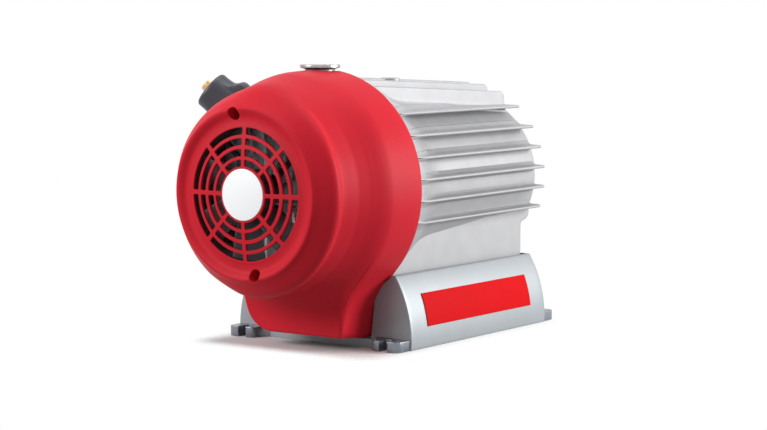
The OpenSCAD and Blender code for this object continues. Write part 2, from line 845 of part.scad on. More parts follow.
module orbiting_tip_seal() {
    color([0.93, 0.91, 0.85]) on_crank() rotate([0, 0, 180]) tip_seal(fixed_floor_d + tip_gap);
}

module bowl_o_ring() {
    color([0.1, 0.1, 0.1]) on_axis() at(joint_d + o_ring_r) rotate_extrude()
        translate([o_ring_pcr, 0]) circle(r = o_ring_r, $fn = 24);
}

module crank_bearing() {
    color([0.75, 0.75, 0.77]) on_crank() at(orbit_back_d + orbit_hub_l - crank_brg_w)
        ball_bearing(crank_brg_r_in, crank_brg_r_out, crank_brg_w);
}

module idler_scroll_bearings() {
    color([0.75, 0.75, 0.77]) on_crank() for (a = idler_angles) at_polar(a, idler_pcr)
        at(orbit_back_d + idler_boss_l - idler_brg_w)
            ball_bearing(idler_brg_r_in, idler_brg_r_out, idler_brg_w);
}

// One idler crank: a web with a pin in the housing and a pin in the orbiting scroll.
module idler_crank(angle) {
    color([0.55, 0.56, 0.58]) on_axis() {
        at_polar(angle, idler_pcr) {
            at(idler_web_d) cylinder(r = idler_web_r, h = idler_web_t);
            at(idler_web_d + idler_web_t)
                cylinder(r = idler_brg_r_in - fit, h = wall_gap / 2 + idler_brg_w);
        }
        translate([crank_e, 0, 0]) at_polar(angle, idler_pcr)
            at(orbit_back_d + idler_boss_l - idler_brg_w) cylinder(r = idler_brg_r_in - fit,
                h = idler_web_d - orbit_back_d - idler_boss_l + idler_brg_w + over);
    }
}

module idler_crank_a() {
    idler_crank(idler_angles[0]);
}

module idler_crank_b() {
    idler_crank(idler_angles[1]);
}

module idler_crank_c() {
    idler_crank(idler_angles[2]);
}

module idler_housing_bearings() {
    color([0.75, 0.75, 0.77]) on_axis() for (a = idler_angles) at_polar(a, idler_pcr)
        at(wall_d) ball_bearing(idler_brg_r_in, idler_brg_r_out, idler_brg_w);
}

module crankshaft() {
    seat = main_brg_r_in - fit;
    pin_d = orbit_back_d + orbit_hub_l - crank_brg_w;
    color([0.6, 0.61, 0.63]) {
        on_crank() at(pin_d) cylinder(r = crank_brg_r_in - fit, h = wall_d - pin_d);
        on_axis() {
            at(wall_d - wall_gap / 2) cylinder(r = shoulder_r, h = main_brg_d - wall_d + wall_gap / 2);
            at(main_brg_d - over) cylinder(r = seat, h = front_weight_d + weight_t - main_brg_d + over);
            at(front_weight_d) cylinder(r = rotor_shaft_r, h = rear_weight_d + rear_weight_t - front_weight_d);
            at(rear_weight_d) cylinder(r = rotor_shaft_r - rear_shaft_step,
                h = rear_brg_d - rear_weight_d);
            at(rear_brg_d - over) cylinder(r = rear_brg_r_in - fit, h = rear_brg_w + over);
        }
    }
}

// A counterweight: a hub with a sector. The front one points away from the crank pin and
// the lighter rear one toward it, so that both force and moment are balanced.
module counterweight(hub_bore, heavy_angle, sector, t) {
    reach = 2 * weight_r;
    linear_extrude(height = t) difference() {
        union() {
            circle(r = weight_hub_r);
            rotate([0, 0, heavy_angle]) intersection() {
                circle(r = weight_r);
                polygon([[0, 0], [reach * cos(sector / 2), -reach * sin(sector / 2)], [reach, 0],
                    [reach * cos(sector / 2), reach * sin(sector / 2)]]);
            }
        }
        circle(r = hub_bore);
    }
}

module front_counterweight() {
    color([0.5, 0.5, 0.48]) on_axis() at(front_weight_d)
        counterweight(main_brg_r_in - fit, 180, front_weight_angle, weight_t);
}

module rear_counterweight() {
    color([0.5, 0.5, 0.48]) on_axis() at(rear_weight_d)
        counterweight(rotor_shaft_r, 0, rear_weight_angle, rear_weight_t);
}

module main_bearing() {
    color([0.75, 0.75, 0.77]) on_axis() at(main_brg_d)
        ball_bearing(main_brg_r_in, main_brg_r_out, main_brg_w);
}

module bearing_retainer() {
    color([0.6, 0.6, 0.62]) on_axis() difference() {
        ring(retainer_r, retainer_r_in, wall_back_d, retainer_t);
        for (i = [0 : retainer_screws - 1]) at_polar(i * 360 / retainer_screws, retainer_pcr)
            at(wall_back_d - over) cylinder(r = m4_r + fit, h = retainer_t + 2 * over);
    }
}

module retainer_screws() {
    color([0.35, 0.35, 0.37]) on_axis() for (i = [0 : retainer_screws - 1])
        at_polar(i * 360 / retainer_screws, retainer_pcr) at(wall_back_d + retainer_t)
            mirror([0, 0, 1]) cap_screw(m4_r, retainer_t + m4_head_h, m4_head_r,
                m4_head_h * hex_share);
}

// The fins' envelope: a cone whose rear edge is rounded.
module fin_envelope() {
    slope = (fin_tip_front_r - fin_tip_rear_r) / (drum_end_d - hood_depth);
    rotate_extrude() {
        polygon([[0, joint_d], [fin_tip_front_r, joint_d], [fin_tip_front_r, hood_depth],
            [fin_tip_rear_r + slope * fin_corner_r, drum_end_d - fin_corner_r],
            [fin_tip_rear_r - fin_corner_r, drum_end_d], [0, drum_end_d]]);
        translate([fin_tip_rear_r - fin_corner_r + slope * fin_corner_r, drum_end_d - fin_corner_r])
            circle(r = fin_corner_r);
    }
}

// One fin across the whole drum, thick at the axis side and thin at both tips.
module fin_slab(reach, root_at) {
    polygon([[-reach, -fin_tip_t / 2], [-root_at, -fin_root_t / 2], [root_at, -fin_root_t / 2],
        [reach, -fin_tip_t / 2], [reach, fin_tip_t / 2], [root_at, fin_root_t / 2],
        [-root_at, fin_root_t / 2], [-reach, fin_tip_t / 2]]);
}

module housing_fins() {
    intersection() {
        fin_envelope();
        union() {
            for (i = [0 : side_fins - 1])
                translate([0, axis_h - fin_low_z - i * fin_pitch, fin_start_d])
                    linear_extrude(height = housing_l)
                        fin_slab(fin_tip_front_r, drum_bore_r);
            for (i = [0 : top_fins - 1])
                translate([(i - (top_fins - 1) / 2) * fin_pitch, -fin_tip_front_r / 2 - over,
                    fin_start_d])
                    linear_extrude(height = housing_l) rotate([0, 0, 90])
                        fin_slab(fin_tip_front_r / 2 + over, 0);
        }
    }
}

// The pedestal in plan: wide at the front, straight at the rear.
module pedestal_plan(inset) {
    w = pedestal_half_w - inset;
    wf = pedestal_front_half_w - inset;
    f = hub_y + pedestal_front_d + inset;
    k = f + (drum_end_d - pedestal_front_d) * pedestal_knee_share;
    r = hub_y + drum_end_d - inset;
    polygon([[-wf, f], [wf, f], [w, k], [w, r], [-w, r], [-w, k]]);
}

// Puts its children at the four screws that hold the base to the pedestal.
module at_base_screws() {
    for (x = [-1, 1], y = [-1, 1])
        translate([x * base_screw_x, hub_y + base_screw_mid_d + y * base_screw_y, 0]) children();
}

// The drum's lower body: straight sides below the lowest fin, then a rounded step inward.
module lower_body() {
    side = cut_corners(cut_corners([[pedestal_lip_half_w, pedestal_lip_high_z],
        [pedestal_lip_half_w, pedestal_lip_low_z + pedestal_lip_round],
        [pedestal_lip_half_w, pedestal_lip_low_z], [pedestal_half_w, pedestal_lip_low_z],
        [pedestal_half_w, pedestal_lip_low_z - pedestal_lip_round],
        [pedestal_half_w, deck_z]]));
    along_base(pedestal_front_d, drum_end_d - pedestal_front_d)
        polygon(concat(side, [for (i = [len(side) - 1 : -1 : 0]) [-side[i][0], side[i][1]]]));
}

module housing() {
    color([0.8, 0.81, 0.82]) difference() {
        union() {
            on_axis() {
                rotate_extrude() polygon(concat(housing_line, [[0, drum_end_d]]));
                at(joint_d) cylinder(r = flange_r, h = flange_t);
                housing_fins();
                at_polar(gallery_angle, gallery_pcr) at(joint_d + over)
                    cylinder(r = gallery_rib_r, h = exhaust_d - joint_d + gallery_rib_r);
            }
            translate([0, 0, deck_z])
                linear_extrude(height = axis_h - deck_z) pedestal_plan(0);
            lower_body();
            translate([0, hub_y + inlet_d, axis_h])
                cylinder(r = port_boss_r, h = port_boss_flat_z - axis_h);
            translate([0, hub_y + exhaust_d, axis_h])
                cylinder(r = port_boss_r - over, h = exhaust_top_z - kf16_l - axis_h);
            translate([0, hub_y + plug_d, axis_h])
                cylinder(r = plug_r + over, h = plug_top_z - plug_r - axis_h);
            on_valve() at(-valve_collar_r) cylinder(r = valve_collar_r, h = valve_collar_r);
        }
        on_axis() {
            at(joint_d - over) cylinder(r = bowl_bore_r, h = wall_d - joint_d + over);
            at(wall_d - over) cylinder(r = shoulder_r + shoulder_bore_gap, h = main_wall_t + over);
            at(main_brg_d) cylinder(r = main_brg_r_out, h = main_brg_w + over);
            for (a = idler_angles) at_polar(a, idler_pcr) at(wall_d - over)
                cylinder(r = idler_brg_r_out, h = idler_brg_w + 2 * over);
            at(wall_back_d) cylinder(r = drum_bore_r, h = end_bell_d - wall_back_d);
            at(end_bell_d - over) cylinder(r = drum_bore_r + end_bell_step,
                h = drum_end_d - end_bell_d + 2 * over);
            ring(o_ring_pcr + o_ring_r + o_ring_side_gap, o_ring_pcr - o_ring_r - o_ring_side_gap,
                joint_d - over, 2 * o_ring_r + over);
            for (i = [0 : flange_screws - 1])
                at_polar(flange_screw_turn + i * 360 / flange_screws, flange_screw_pcr)
                    at(joint_d - over) cylinder(r = m6_r + fit, h = flange_screw_l - flange_t + 2 * over);
            at_polar(gallery_angle, gallery_pcr) at(joint_d - over)
                cylinder(r = gallery_r, h = exhaust_d - joint_d + gallery_r + over / 2);
            for (i = [0 : retainer_screws - 1]) at_polar(i * 360 / retainer_screws, retainer_pcr)
                at(wall_back_d - m4_head_h - over) cylinder(r = m4_r + fit, h = m4_head_h + 2 * over);
        }
        difference() {
            translate([0, 0, deck_z - over])
                linear_extrude(height = pedestal_roof_z - deck_z + over)
                    pedestal_plan(pedestal_wall);
            on_axis() rotate_extrude() polygon(concat(housing_line, [[0, drum_end_d]]));
            at_base_screws() at(deck_z - 2 * over)
                cylinder(r = m8_head_r + over, h = axis_h - deck_z);
        }
        at_base_screws() at(deck_z - over) cylinder(r = m8_r + fit, h = base_screw_l);
        translate([0, hub_y + inlet_d, axis_h + bowl_bore_r / 2])
            cylinder(r = kf25_bore_r - port_step, h = bowl_r);
        translate([0, hub_y + inlet_d, port_boss_flat_z - kf_seat_depth])
            cylinder(r = kf25_neck_r + fit, h = kf_seat_depth + over);
        translate([0, hub_y + exhaust_d, axis_h + gallery_pcr * sin(gallery_angle) - 2 * gallery_r])
            cylinder(r = kf16_bore_r - port_step, h = bowl_r);
        translate([0, hub_y + exhaust_d, exhaust_top_z - kf16_l]) cylinder(r = kf16_r + slip, h = bowl_r);
        on_axis() translate([0, -gallery_pcr * sin(gallery_angle), exhaust_d])
            rotate([0, 90, 0]) cylinder(r = cross_bore_r, h = gallery_pcr * cos(gallery_angle));
        translate([0, hub_y + plug_d, plug_top_z - plug_r * 2])
            cylinder(r = m8_r + fit, h = plug_r * 2);
        translate([0, hub_y + plug_d, plug_top_z - plug_r]) cylinder(r = plug_r + slip, h = bowl_r);
        on_valve() at(-valve_spigot_l) cylinder(r = valve_stem_r + fit, h = valve_spigot_l + over);
        on_valve() at(-valve_collar_r * 2) cylinder(r = valve_bore_r, h = valve_collar_r * 2);
        on_valve() cylinder(r = valve_collar_r + slip, h = valve_l);
    }
}

module stator_core() {
    color([0.45, 0.46, 0.5]) on_axis() at(core_d) difference() {
        cylinder(r = stator_r, h = core_l);
        at(-over) cylinder(r = rotor_r + air_gap, h = core_l + 2 * over);
        for (i = [0 : stator_slots - 1]) at_polar(i * 360 / stator_slots, 0) at(-over)
            linear_extrude(height = core_l + 2 * over) {
                polygon([[slot_top_r, -slot_top_w / 2], [slot_floor_r, -slot_floor_w / 2],
                    [slot_floor_r, slot_floor_w / 2], [slot_top_r, slot_top_w / 2]]);
                translate([rotor_r, -slot_mouth_w / 2])
                    square([slot_top_r - rotor_r + over, slot_mouth_w]);
            }
    }
}

// The end turns of the windings at one end of the core.
module end_turns() {
    mid = (end_turn_r_in + end_turn_r_out) / 2;
    half = (end_turn_r_out - end_turn_r_in) / 2 - end_turn_corner;
    rotate_extrude() {
        translate([end_turn_r_in, 0]) square([2 * half + 2 * end_turn_corner,
            end_turn_l - end_turn_corner]);
        translate([mid - half, 0]) square([2 * half, end_turn_l]);
        for (x = [-half, half]) translate([mid + x, end_turn_l - end_turn_corner])
            circle(r = end_turn_corner, $fn = 32);
    }
}

module stator_windings() {
    g = winding_gap;
    color([0.72, 0.38, 0.16]) on_axis() at(core_d) {
        at(core_l + g) end_turns();
        at(-g) mirror([0, 0, 1]) end_turns();
        for (i = [0 : stator_slots - 1]) at_polar(i * 360 / stator_slots, 0) at(-g - over)
            linear_extrude(height = core_l + 2 * g + 2 * over)
                polygon([[slot_top_r + g, g - slot_top_w / 2], [slot_floor_r - g, g - slot_floor_w / 2],
                    [slot_floor_r - g, slot_floor_w / 2 - g], [slot_top_r + g, slot_top_w / 2 - g]]);
    }
}

module motor_rotor() {
    color([0.5, 0.51, 0.54]) on_axis() at(core_d) difference() {
        cylinder(r = rotor_r, h = core_l);
        at(-over) cylinder(r = rotor_shaft_r, h = core_l + 2 * over);
        for (i = [0 : magnet_slots - 1]) at_polar(magnet_turn + i * 360 / magnet_slots, magnet_pcr)
            at(-over) linear_extrude(height = rotor_end_ring_t + over)
                square([magnet_t, magnet_w], center = true);
    }
}

module end_bell() {
    r = drum_bore_r + end_bell_step - end_bell_gap;
    color([0.72, 0.73, 0.75]) on_axis() difference() {
        union() {
            at(end_bell_d) cylinder(r = r, h = end_bell_t);
            for (i = [0 : end_bell_posts - 1])
                at_polar(end_bell_post_turn + i * 360 / end_bell_posts, end_bell_post_pcr)
                at(end_bell_d + end_bell_t - over) cylinder(r = end_bell_post_r,
                    h = end_bell_post_h + over);
        }
        at(end_bell_d - over) cylinder(r = rear_brg_r_out,
            h = rear_brg_d - end_bell_d + rear_brg_w + over);
        ring(end_bell_post_pcr - end_bell_post_r * 2, rear_brg_r_out + end_bell_post_r * 2,
            end_bell_d - over, end_bell_t / 2);
        for (i = [0 : end_bell_screw_count - 1])
            at_polar(i * 360 / end_bell_screw_count, r - m4_head_r * 2)
            at(end_bell_d - over) cylinder(r = m4_r + fit, h = end_bell_t + 2 * over);
    }
}

module end_bell_screws() {
    r = drum_bore_r + end_bell_step - end_bell_gap;
    color([0.35, 0.35, 0.37]) on_axis() for (i = [0 : end_bell_screw_count - 1])
        at_polar(i * 360 / end_bell_screw_count, r - m4_head_r * 2)
        at(end_bell_d + end_bell_t) mirror([0, 0, 1])
            cap_screw(m4_r, end_bell_t, m4_head_r, m4_head_h);
}

module rear_bearing() {
    color([0.75, 0.75, 0.77]) on_axis() at(rear_brg_d)
        ball_bearing(rear_brg_r_in, rear_brg_r_out, rear_brg_w);
}

module drive_board() {
    d = end_bell_d + end_bell_t + end_bell_post_h;
    color([0.1, 0.35, 0.2]) on_axis() {
        at(d) cylinder(r = board_r, h = board_t);
        for (i = [0 : 2]) translate([-board_r / 2 + i * part_h, -part_row_y, d])
            cylinder(r = part_r, h = part_h);
        for (i = [0 : 2]) translate([-board_r / 2 + i * part_h, chip_row_y, d])
            cube([chip_w, chip_t, chip_w]);
    }
}

// A block through the rear cover, seen from behind the hub disc, that reaches inward and
// outward of the cover's face.
module cover_box(x, z, w, h, inside, outside) {
    translate([x - w / 2, -z - h / 2, cover_face_d - inside]) cube([w, h, inside + outside]);
}

module rear_cover() {
    rim_r = drum_bore_r + end_bell_step - cover_rim_gap;
    color([0.2, 0.21, 0.23]) on_axis() difference() {
        union() {
            at(drum_end_d) cylinder(r = cover_r, h = cover_t);
            ring(rim_r, rim_r - cover_rim_wall, drum_end_d - cover_rim_l, cover_rim_l + over);
            for (i = [0 : cover_screws - 1])
                at_polar(cover_screw_turn + i * 360 / cover_screws, cover_screw_pcr)
                    at(drum_end_d - cover_rim_l) cylinder(r = cover_boss_r, h = cover_rim_l + over);
        }
        for (i = [0 : cover_screws - 1])
            at_polar(cover_screw_turn + i * 360 / cover_screws, cover_screw_pcr)
                at(drum_end_d - cover_rim_l - over) cylinder(r = m4_r + fit,
                    h = cover_rim_l + cover_t + 2 * over);
        cover_box(0, window_z, window_w + 2 * slip, window_h + 2 * slip, cover_t + over, over);
        cover_box(switch_x, switch_z, switch_w + 2 * slip, switch_h + 2 * slip, cover_t + over, over);
        cover_box(inlet_x, inlet_z, inlet_w + 2 * slip, inlet_h + 2 * slip, cover_t + over, over);
        cover_box(connector_x, connector_z, connector_w + 2 * slip, connector_h + 2 * slip,
            cover_t + over, over);
        for (i = [0 : keys - 1]) translate([key_x(i), -key_z, drum_end_d - over])
            cylinder(r = key_r + fit, h = cover_t + 2 * over);
    }
}

function key_x(i) = (i - (keys - 1) / 2) * key_pitch;

module rear_cover_screws() {
    color([0.35, 0.35, 0.37]) on_axis() for (i = [0 : cover_screws - 1])
        at_polar(cover_screw_turn + i * 360 / cover_screws, cover_screw_pcr)
            at(cover_face_d) mirror([0, 0, 1])
                cap_screw(m4_r, cover_t + cover_rim_l, m4_head_r, m4_head_h * hex_share);
}

// The board behind the keys, with the display that fills the window.
module display_board() {
    d = drum_end_d - key_flange_t - key_travel - slip;
    color([0.05, 0.08, 0.12]) on_axis() {
        translate([-window_w / 2 - slip, -window_z - window_h / 2 - slip, d - board_t])
            cube([window_w + 2 * slip, window_z - key_z + window_h / 2 + key_flange_r * 2, board_t]);
        translate([-window_w / 2, -window_z - window_h / 2, d - over])
            cube([window_w, window_h, cover_face_d - d]);
        for (x = [-1, 1]) translate([x * (window_w / 2 - over) - over, -window_z + window_h / 2 + slip,
            d - over]) cube([2 * over, 2 * over, drum_end_d - d + over]);
    }
}

module key(i) {
    color([0.75, 0.76, 0.78]) on_axis() translate([key_x(i), -key_z, 0]) {
        at(drum_end_d - key_flange_t) cylinder(r = key_flange_r, h = key_flange_t);
        at(drum_end_d - over / 2) cylinder(r = key_r - fit, h = cover_t + key_proud + over / 2);
    }
}

module key_a() {
    key(0);
}

module key_b() {
    key(1);
}

module key_c() {
    key(2);
}

module key_d() {
    key(3);
}

// Puts its children on the rocker's pin: local z runs along the pin.
module on_rocker_pin() {
    on_axis() translate([switch_x, -switch_z, cover_face_d - rocker_pin_depth])
        rotate([90, 0, 90]) children();
}

// The frame of the mains switch, open at the rear for its rocker.
module mains_switch_frame() {
    color([0.08, 0.08, 0.09]) difference() {
        on_axis() difference() {
            union() {
                cover_box(switch_x, switch_z, switch_w, switch_h, switch_depth, rim_t);
                cover_box(switch_x, switch_z, switch_w + 2 * socket_rim, switch_h + 2 * socket_rim,
                    0, rim_t);
            }
            cover_box(switch_x, switch_z, switch_w - 2 * socket_wall, switch_h - 2 * socket_wall,
                switch_depth - socket_wall, rim_t + over);
        }
        on_rocker_pin() at(-switch_w / 2 + socket_wall / 2)
            cylinder(r = rocker_pin_r + fit, h = switch_w - socket_wall);
    }
}

// The rocker tilts on a pin across the switch; its two faces meet in a shallow valley.
module mains_rocker() {
    half = switch_h / 2 - socket_wall - over;
    w = switch_w - 2 * socket_wall - 2 * slip;
    pin_reach = switch_w - socket_wall - slip;
    face = rocker_pin_depth + rim_t;
    color([0.62, 0.08, 0.08]) on_rocker_pin() rotate([0, 0, switch_tilt]) {
        at(-w / 2) linear_extrude(height = w)
            polygon([[-half, face + over], [0, face], [half, face + over], [half - over, 0],
                [half / 2, -half / 2], [-half / 2, -half / 2], [over - half, 0]]);
        at(-pin_reach / 2) cylinder(r = rocker_pin_r, h = pin_reach);
    }
}

// The mains inlet: a socket with three flat pins.
module mains_inlet() {
    color([0.07, 0.07, 0.08]) on_axis() {
        difference() {
            union() {
                cover_box(inlet_x, inlet_z, inlet_w, inlet_h, inlet_depth, rim_t);
                cover_box(inlet_x, inlet_z, inlet_w + 2 * socket_rim, inlet_h + 2 * socket_rim,
                    0, rim_t);
            }
            cover_box(inlet_x, inlet_z, inlet_w - 2 * socket_wall, inlet_h - 2 * socket_wall,
                inlet_depth - socket_wall, rim_t + over);
        }
        for (i = [-1 : 1]) translate([inlet_x + i * pin_pitch - pin_w / 2,
            -inlet_z - pin_h / 2 - (1 - abs(i)) * pin_stagger,
            cover_face_d - inlet_depth + socket_wall / 2]) cube([pin_w, pin_h, pin_l]);
    }
}

// The control connector: a thin metal shell round an insulating block.
module control_connector() {
    color([0.55, 0.56, 0.58]) on_axis() difference() {
        union() {
            cover_box(connector_x, connector_z, connector_w, connector_h, connector_depth, rim_t);
            cover_box(connector_x, connector_z, connector_w + 2 * socket_rim, connector_h + socket_rim,
                0, rim_t / 2);
        }
        difference() {
            cover_box(connector_x, connector_z, connector_w - socket_wall, connector_h - socket_wall,
                connector_depth / 2, rim_t + over);
            cover_box(connector_x, connector_z, connector_w - 2 * socket_wall - over,
                connector_h - 2 * socket_wall - over, connector_depth, over / 2);
        }
    }
}

// A small flange fitting, flange face up at z = 0, with its neck running down.
module small_flange(flange, rim, neck, bore, l) {
    difference() {
        rotate_extrude() polygon([[0, 0], [flange, 0], [flange, -rim],
            [neck, -rim - (flange - neck) * kf_slope], [neck, -l], [0, -l]]);
        at(-l - over) cylinder(r = bore, h = l + 2 * over);
    }
}

module inlet_flange() {
    color([0.8, 0.81, 0.83]) translate([0, hub_y + inlet_d, inlet_top_z])
        small_flange(kf25_r, kf25_rim, kf25_neck_r, kf25_bore_r,
            inlet_top_z - port_boss_flat_z + kf_seat_depth);
}

module exhaust_flange() {
    color([0.8, 0.81, 0.83]) translate([0, hub_y + exhaust_d, exhaust_top_z])
        small_flange(kf16_r, kf16_rim, kf16_neck_r, kf16_bore_r, kf16_l);
}

module lifting_plug() {
    color([0.78, 0.79, 0.8]) translate([0, hub_y + plug_d, 0]) {
        translate([0, 0, plug_top_z - plug_r]) cylinder(r = plug_r, h = plug_r);
        translate([0, 0, plug_top_z - plug_r * 2 + over]) cylinder(r = m8_r, h = plug_r * 2 - 2 * over);
    }
}

module valve_body() {
    color([0.2, 0.21, 0.23]) on_valve() difference() {
        union() {
            at(-valve_spigot_l) cylinder(r = valve_stem_r, h = valve_spigot_l + valve_l * knob_start_share);
            cylinder(r = valve_collar_r, h = valve_collar_l);
            cylinder(r = valve_spindle_r, h = valve_l * knob_start_share + valve_spindle_l);
        }
        at(-valve_spigot_l - over) cylinder(r = valve_bore_r, h = valve_l);
    }
}

// The knob's outline in shares of the valve's length and in its own radii.
module valve_knob() {
    start = valve_l * knob_start_share;
    wing_a = valve_l * knob_wing_start_share;
    wing_b = valve_l * knob_wing_end_share;
    flare = valve_l * knob_flare_end_share;
    color([0.13, 0.14, 0.16]) on_valve() difference() {
        union() {
            rotate_extrude() {
                polygon([[0, start], [knob_r - knob_round, start], [knob_r, start + knob_round],
                    [knob_r, valve_l - knob_round], [knob_r - knob_round, valve_l], [0, valve_l]]);
                translate([knob_r - knob_round, valve_l - knob_round]) circle(r = knob_round);
                translate([knob_r - knob_round, start + knob_round]) circle(r = knob_round);
            }
            intersection() {
                rotate_extrude() polygon(cut_corners(cut_corners([[0, wing_a], [knob_wing_r, wing_a],
                    [knob_wing_r, wing_b], [knob_r + knob_round, wing_b + over],
                    [knob_r, flare], [0, flare]])));
                translate([-knob_wing_r - over, -knob_wing_w / 2, 0])
                    cube([2 * knob_wing_r + 2 * over, knob_wing_w, valve_l]);
            }
        }
        at(start - over) cylinder(r = valve_spindle_r + fit, h = valve_spindle_l + 2 * over);
        at(valve_l - filter_seat_l) cylinder(r = filter_r - over, h = filter_seat_l + over);
    }
}

module valve_filter() {
    color([0.75, 0.5, 0.25]) on_valve() {
        at(valve_l - filter_seat_l) cylinder(r = filter_r - over - fit, h = filter_seat_l + over);
        at(valve_l) cylinder(r = filter_r, h = filter_l * hex_share, $fn = 6);
        at(valve_l + filter_l * hex_share - over / 2) cylinder(r = filter_r - filter_wall,
            h = filter_l * hex_share + over / 2);
    }
}

// The base's cross-section between two heights: two rounded flanks, inset by g.
flank_centre_x = base_top_half_w - sqrt(pow(flank_r, 2) - pow(base_h - flank_centre_z, 2));
module base_section(g, low, high) {
    for (side = [0, 1]) mirror([side, 0, 0]) intersection() {
        translate([flank_centre_x, flank_centre_z]) circle(r = flank_r - g, $fn = 128);
        translate([-over, low]) square([2 * flank_r, high - low]);
    }
}

// Extrudes a cross-section along the base, from one distance behind the hub disc.
module along_base(d_start, l) {
    translate([0, hub_y + d_start + l, 0]) rotate([90, 0, 0]) linear_extrude(height = l) children();
}

// One front lug at the right, in plan, with its open slot's centre at the origin. The wall
// that it stands on begins at face.
module lug(face, reach, nose) {
    difference() {
        union() {
            translate([-lug_inner_w, lug_inner_r - nose])
                square([lug_inner_w + lug_outer_w, reach + nose - lug_inner_r]);
            translate([lug_inner_r - lug_inner_w, -nose])
                square([lug_inner_w + lug_outer_w - lug_inner_r, lug_inner_r]);
            translate([lug_inner_r - lug_inner_w, lug_inner_r - nose]) circle(r = lug_inner_r);
            translate([-lug_inner_w - lug_fillet_r, face - lug_fillet_r]) difference() {
                square([lug_fillet_r + over, lug_fillet_r + over]);
                circle(r = lug_fillet_r);
            }
        }
        translate([lug_outer_w - lug_corner_r, lug_corner_r - nose]) difference() {
            translate([0, -lug_corner_r - over])
                square([lug_corner_r + over, lug_corner_r + over]);
            circle(r = lug_corner_r);
        }
        circle(r = slot_w / 2);
        translate([-slot_w / 2, -2 * nose]) square([slot_w, 2 * nose]);
    }
}

module base() {
    lug_x = slot_span_x / 2;
    front_reach = base_front_d - slot_front_d + base_wall;
    rear_face = slot_rear_d - base_front_d - base_l;
    hollow_d = hood_depth + hood_clear + base_front_wall;
    color([0.78, 0.8, 0.83]) difference() {
        union() {
            along_base(base_front_d, base_l) base_section(0, 0, base_h);
            translate([-lug_x, hub_y + floor_strip_d, 0])
                cube([2 * lug_x, base_front_d - floor_strip_d + base_wall, floor_strip_h]);
            for (x = [0, 1]) mirror([x, 0, 0]) translate([lug_x, -slot_span_y / 2, 0])
                linear_extrude(height = lug_t)
                    lug(floor_strip_d - slot_front_d, front_reach, lug_nose);
            for (x = [0, 1]) mirror([x, 0, 0]) mirror([0, 1, 0])
                translate([lug_x, -slot_span_y / 2, 0]) linear_extrude(height = lug_t)
                    lug(rear_face, rear_face + base_wall, rear_lug_nose);
        }
        difference() {
            along_base(hollow_d, base_front_d + base_l - base_front_wall - hollow_d)
                base_section(base_wall, -over, deck_z - deck_t);
            translate([-rib_t / 2, -base_l, -2 * over]) cube([rib_t, 2 * base_l, base_h]);
            translate([-base_l, -rib_t / 2, -2 * over]) cube([2 * base_l, rib_t, base_h]);
        }
        along_base(base_front_d - over, base_l + 2 * over)
            translate([-base_top_half_w + deck_lip, deck_z])
                square([2 * (base_top_half_w - deck_lip), base_h]);
        on_axis() {
            at(base_front_d - over) cylinder(r = hood_r + hood_clear,
                h = hood_depth - base_front_d + hood_clear + over);
            rotate_extrude() polygon(concat([for (p = housing_line) p + [hood_clear, 0]],
                [[0, drum_end_d], [0, joint_d]]));
        }
        difference() {
            skirt_block(hood_clear, floor_strip_d, hood_depth + hood_clear);
            translate([-2 * lug_x, hub_y, 0]) cube([4 * lug_x, 2 * hood_depth, floor_strip_h]);
        }
        at_base_screws() at(deck_z - deck_t - over)
            cylinder(r = m8_r + hole_gap, h = deck_t + 2 * over);
    }
}

module base_screws() {
    color([0.35, 0.35, 0.37]) at_base_screws() at(deck_z - deck_t)
        cap_screw(m8_r, base_screw_l, m8_head_r, m8_head_h);
}

// The bare plate follows the right flank.
module red_plate() {
    color([0.9, 0.12, 0.15]) along_base(plate_start_d, plate_l) difference() {
        translate([flank_centre_x, flank_centre_z]) circle(r = flank_r + glue_t + plate_t_red, $fn = 128);
        translate([flank_centre_x, flank_centre_z]) circle(r = flank_r + glue_t, $fn = 128);
        translate([-2 * flank_r, -2 * flank_r]) square([4 * flank_r, 2 * flank_r + plate_low_z]);
        translate([-2 * flank_r, plate_high_z]) square([4 * flank_r, 2 * flank_r]);
        translate([-2 * flank_r, -flank_r]) square([2 * flank_r, 3 * flank_r]);
    }
}

fan_hood();
hub_disc();
hood_screws();
hood_standoffs();
fan_frame();
fan_rotor();
fan_bearings();
fixed_scroll();
fixed_tip_seal();
fixed_scroll_screws();
orbiting_scroll();
orbiting_tip_seal();
bowl_o_ring();
crank_bearing();
idler_scroll_bearings();
idler_crank_a();
idler_crank_b();
idler_crank_c();
idler_housing_bearings();
crankshaft();
front_counterweight();
rear_counterweight();
main_bearing();
bearing_retainer();
retainer_screws();
housing();
stator_core();
stator_windings();
motor_rotor();
end_bell();
end_bell_screws();
rear_bearing();
drive_board();
rear_cover();
rear_cover_screws();
display_board();
key_a();
key_b();
key_c();
key_d();
mains_switch_frame();
mains_rocker();
mains_inlet();
control_connector();
inlet_flange();
exhaust_flange();
lifting_plug();
valve_body();
valve_knob();
valve_filter();
base();
base_screws();
red_plate();
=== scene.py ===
"""Looks of an air-cooled dry scroll vacuum pump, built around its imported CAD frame.

The sizes inside the shape functions are millimetres in the part's own frame: +Z up, the fan's
side at -Y, the floor at Z = 0. They become metres where a mesh is made. A distance d runs
backward from the front of the hub's disc, and an angle runs round the shaft from +X.
"""
import json

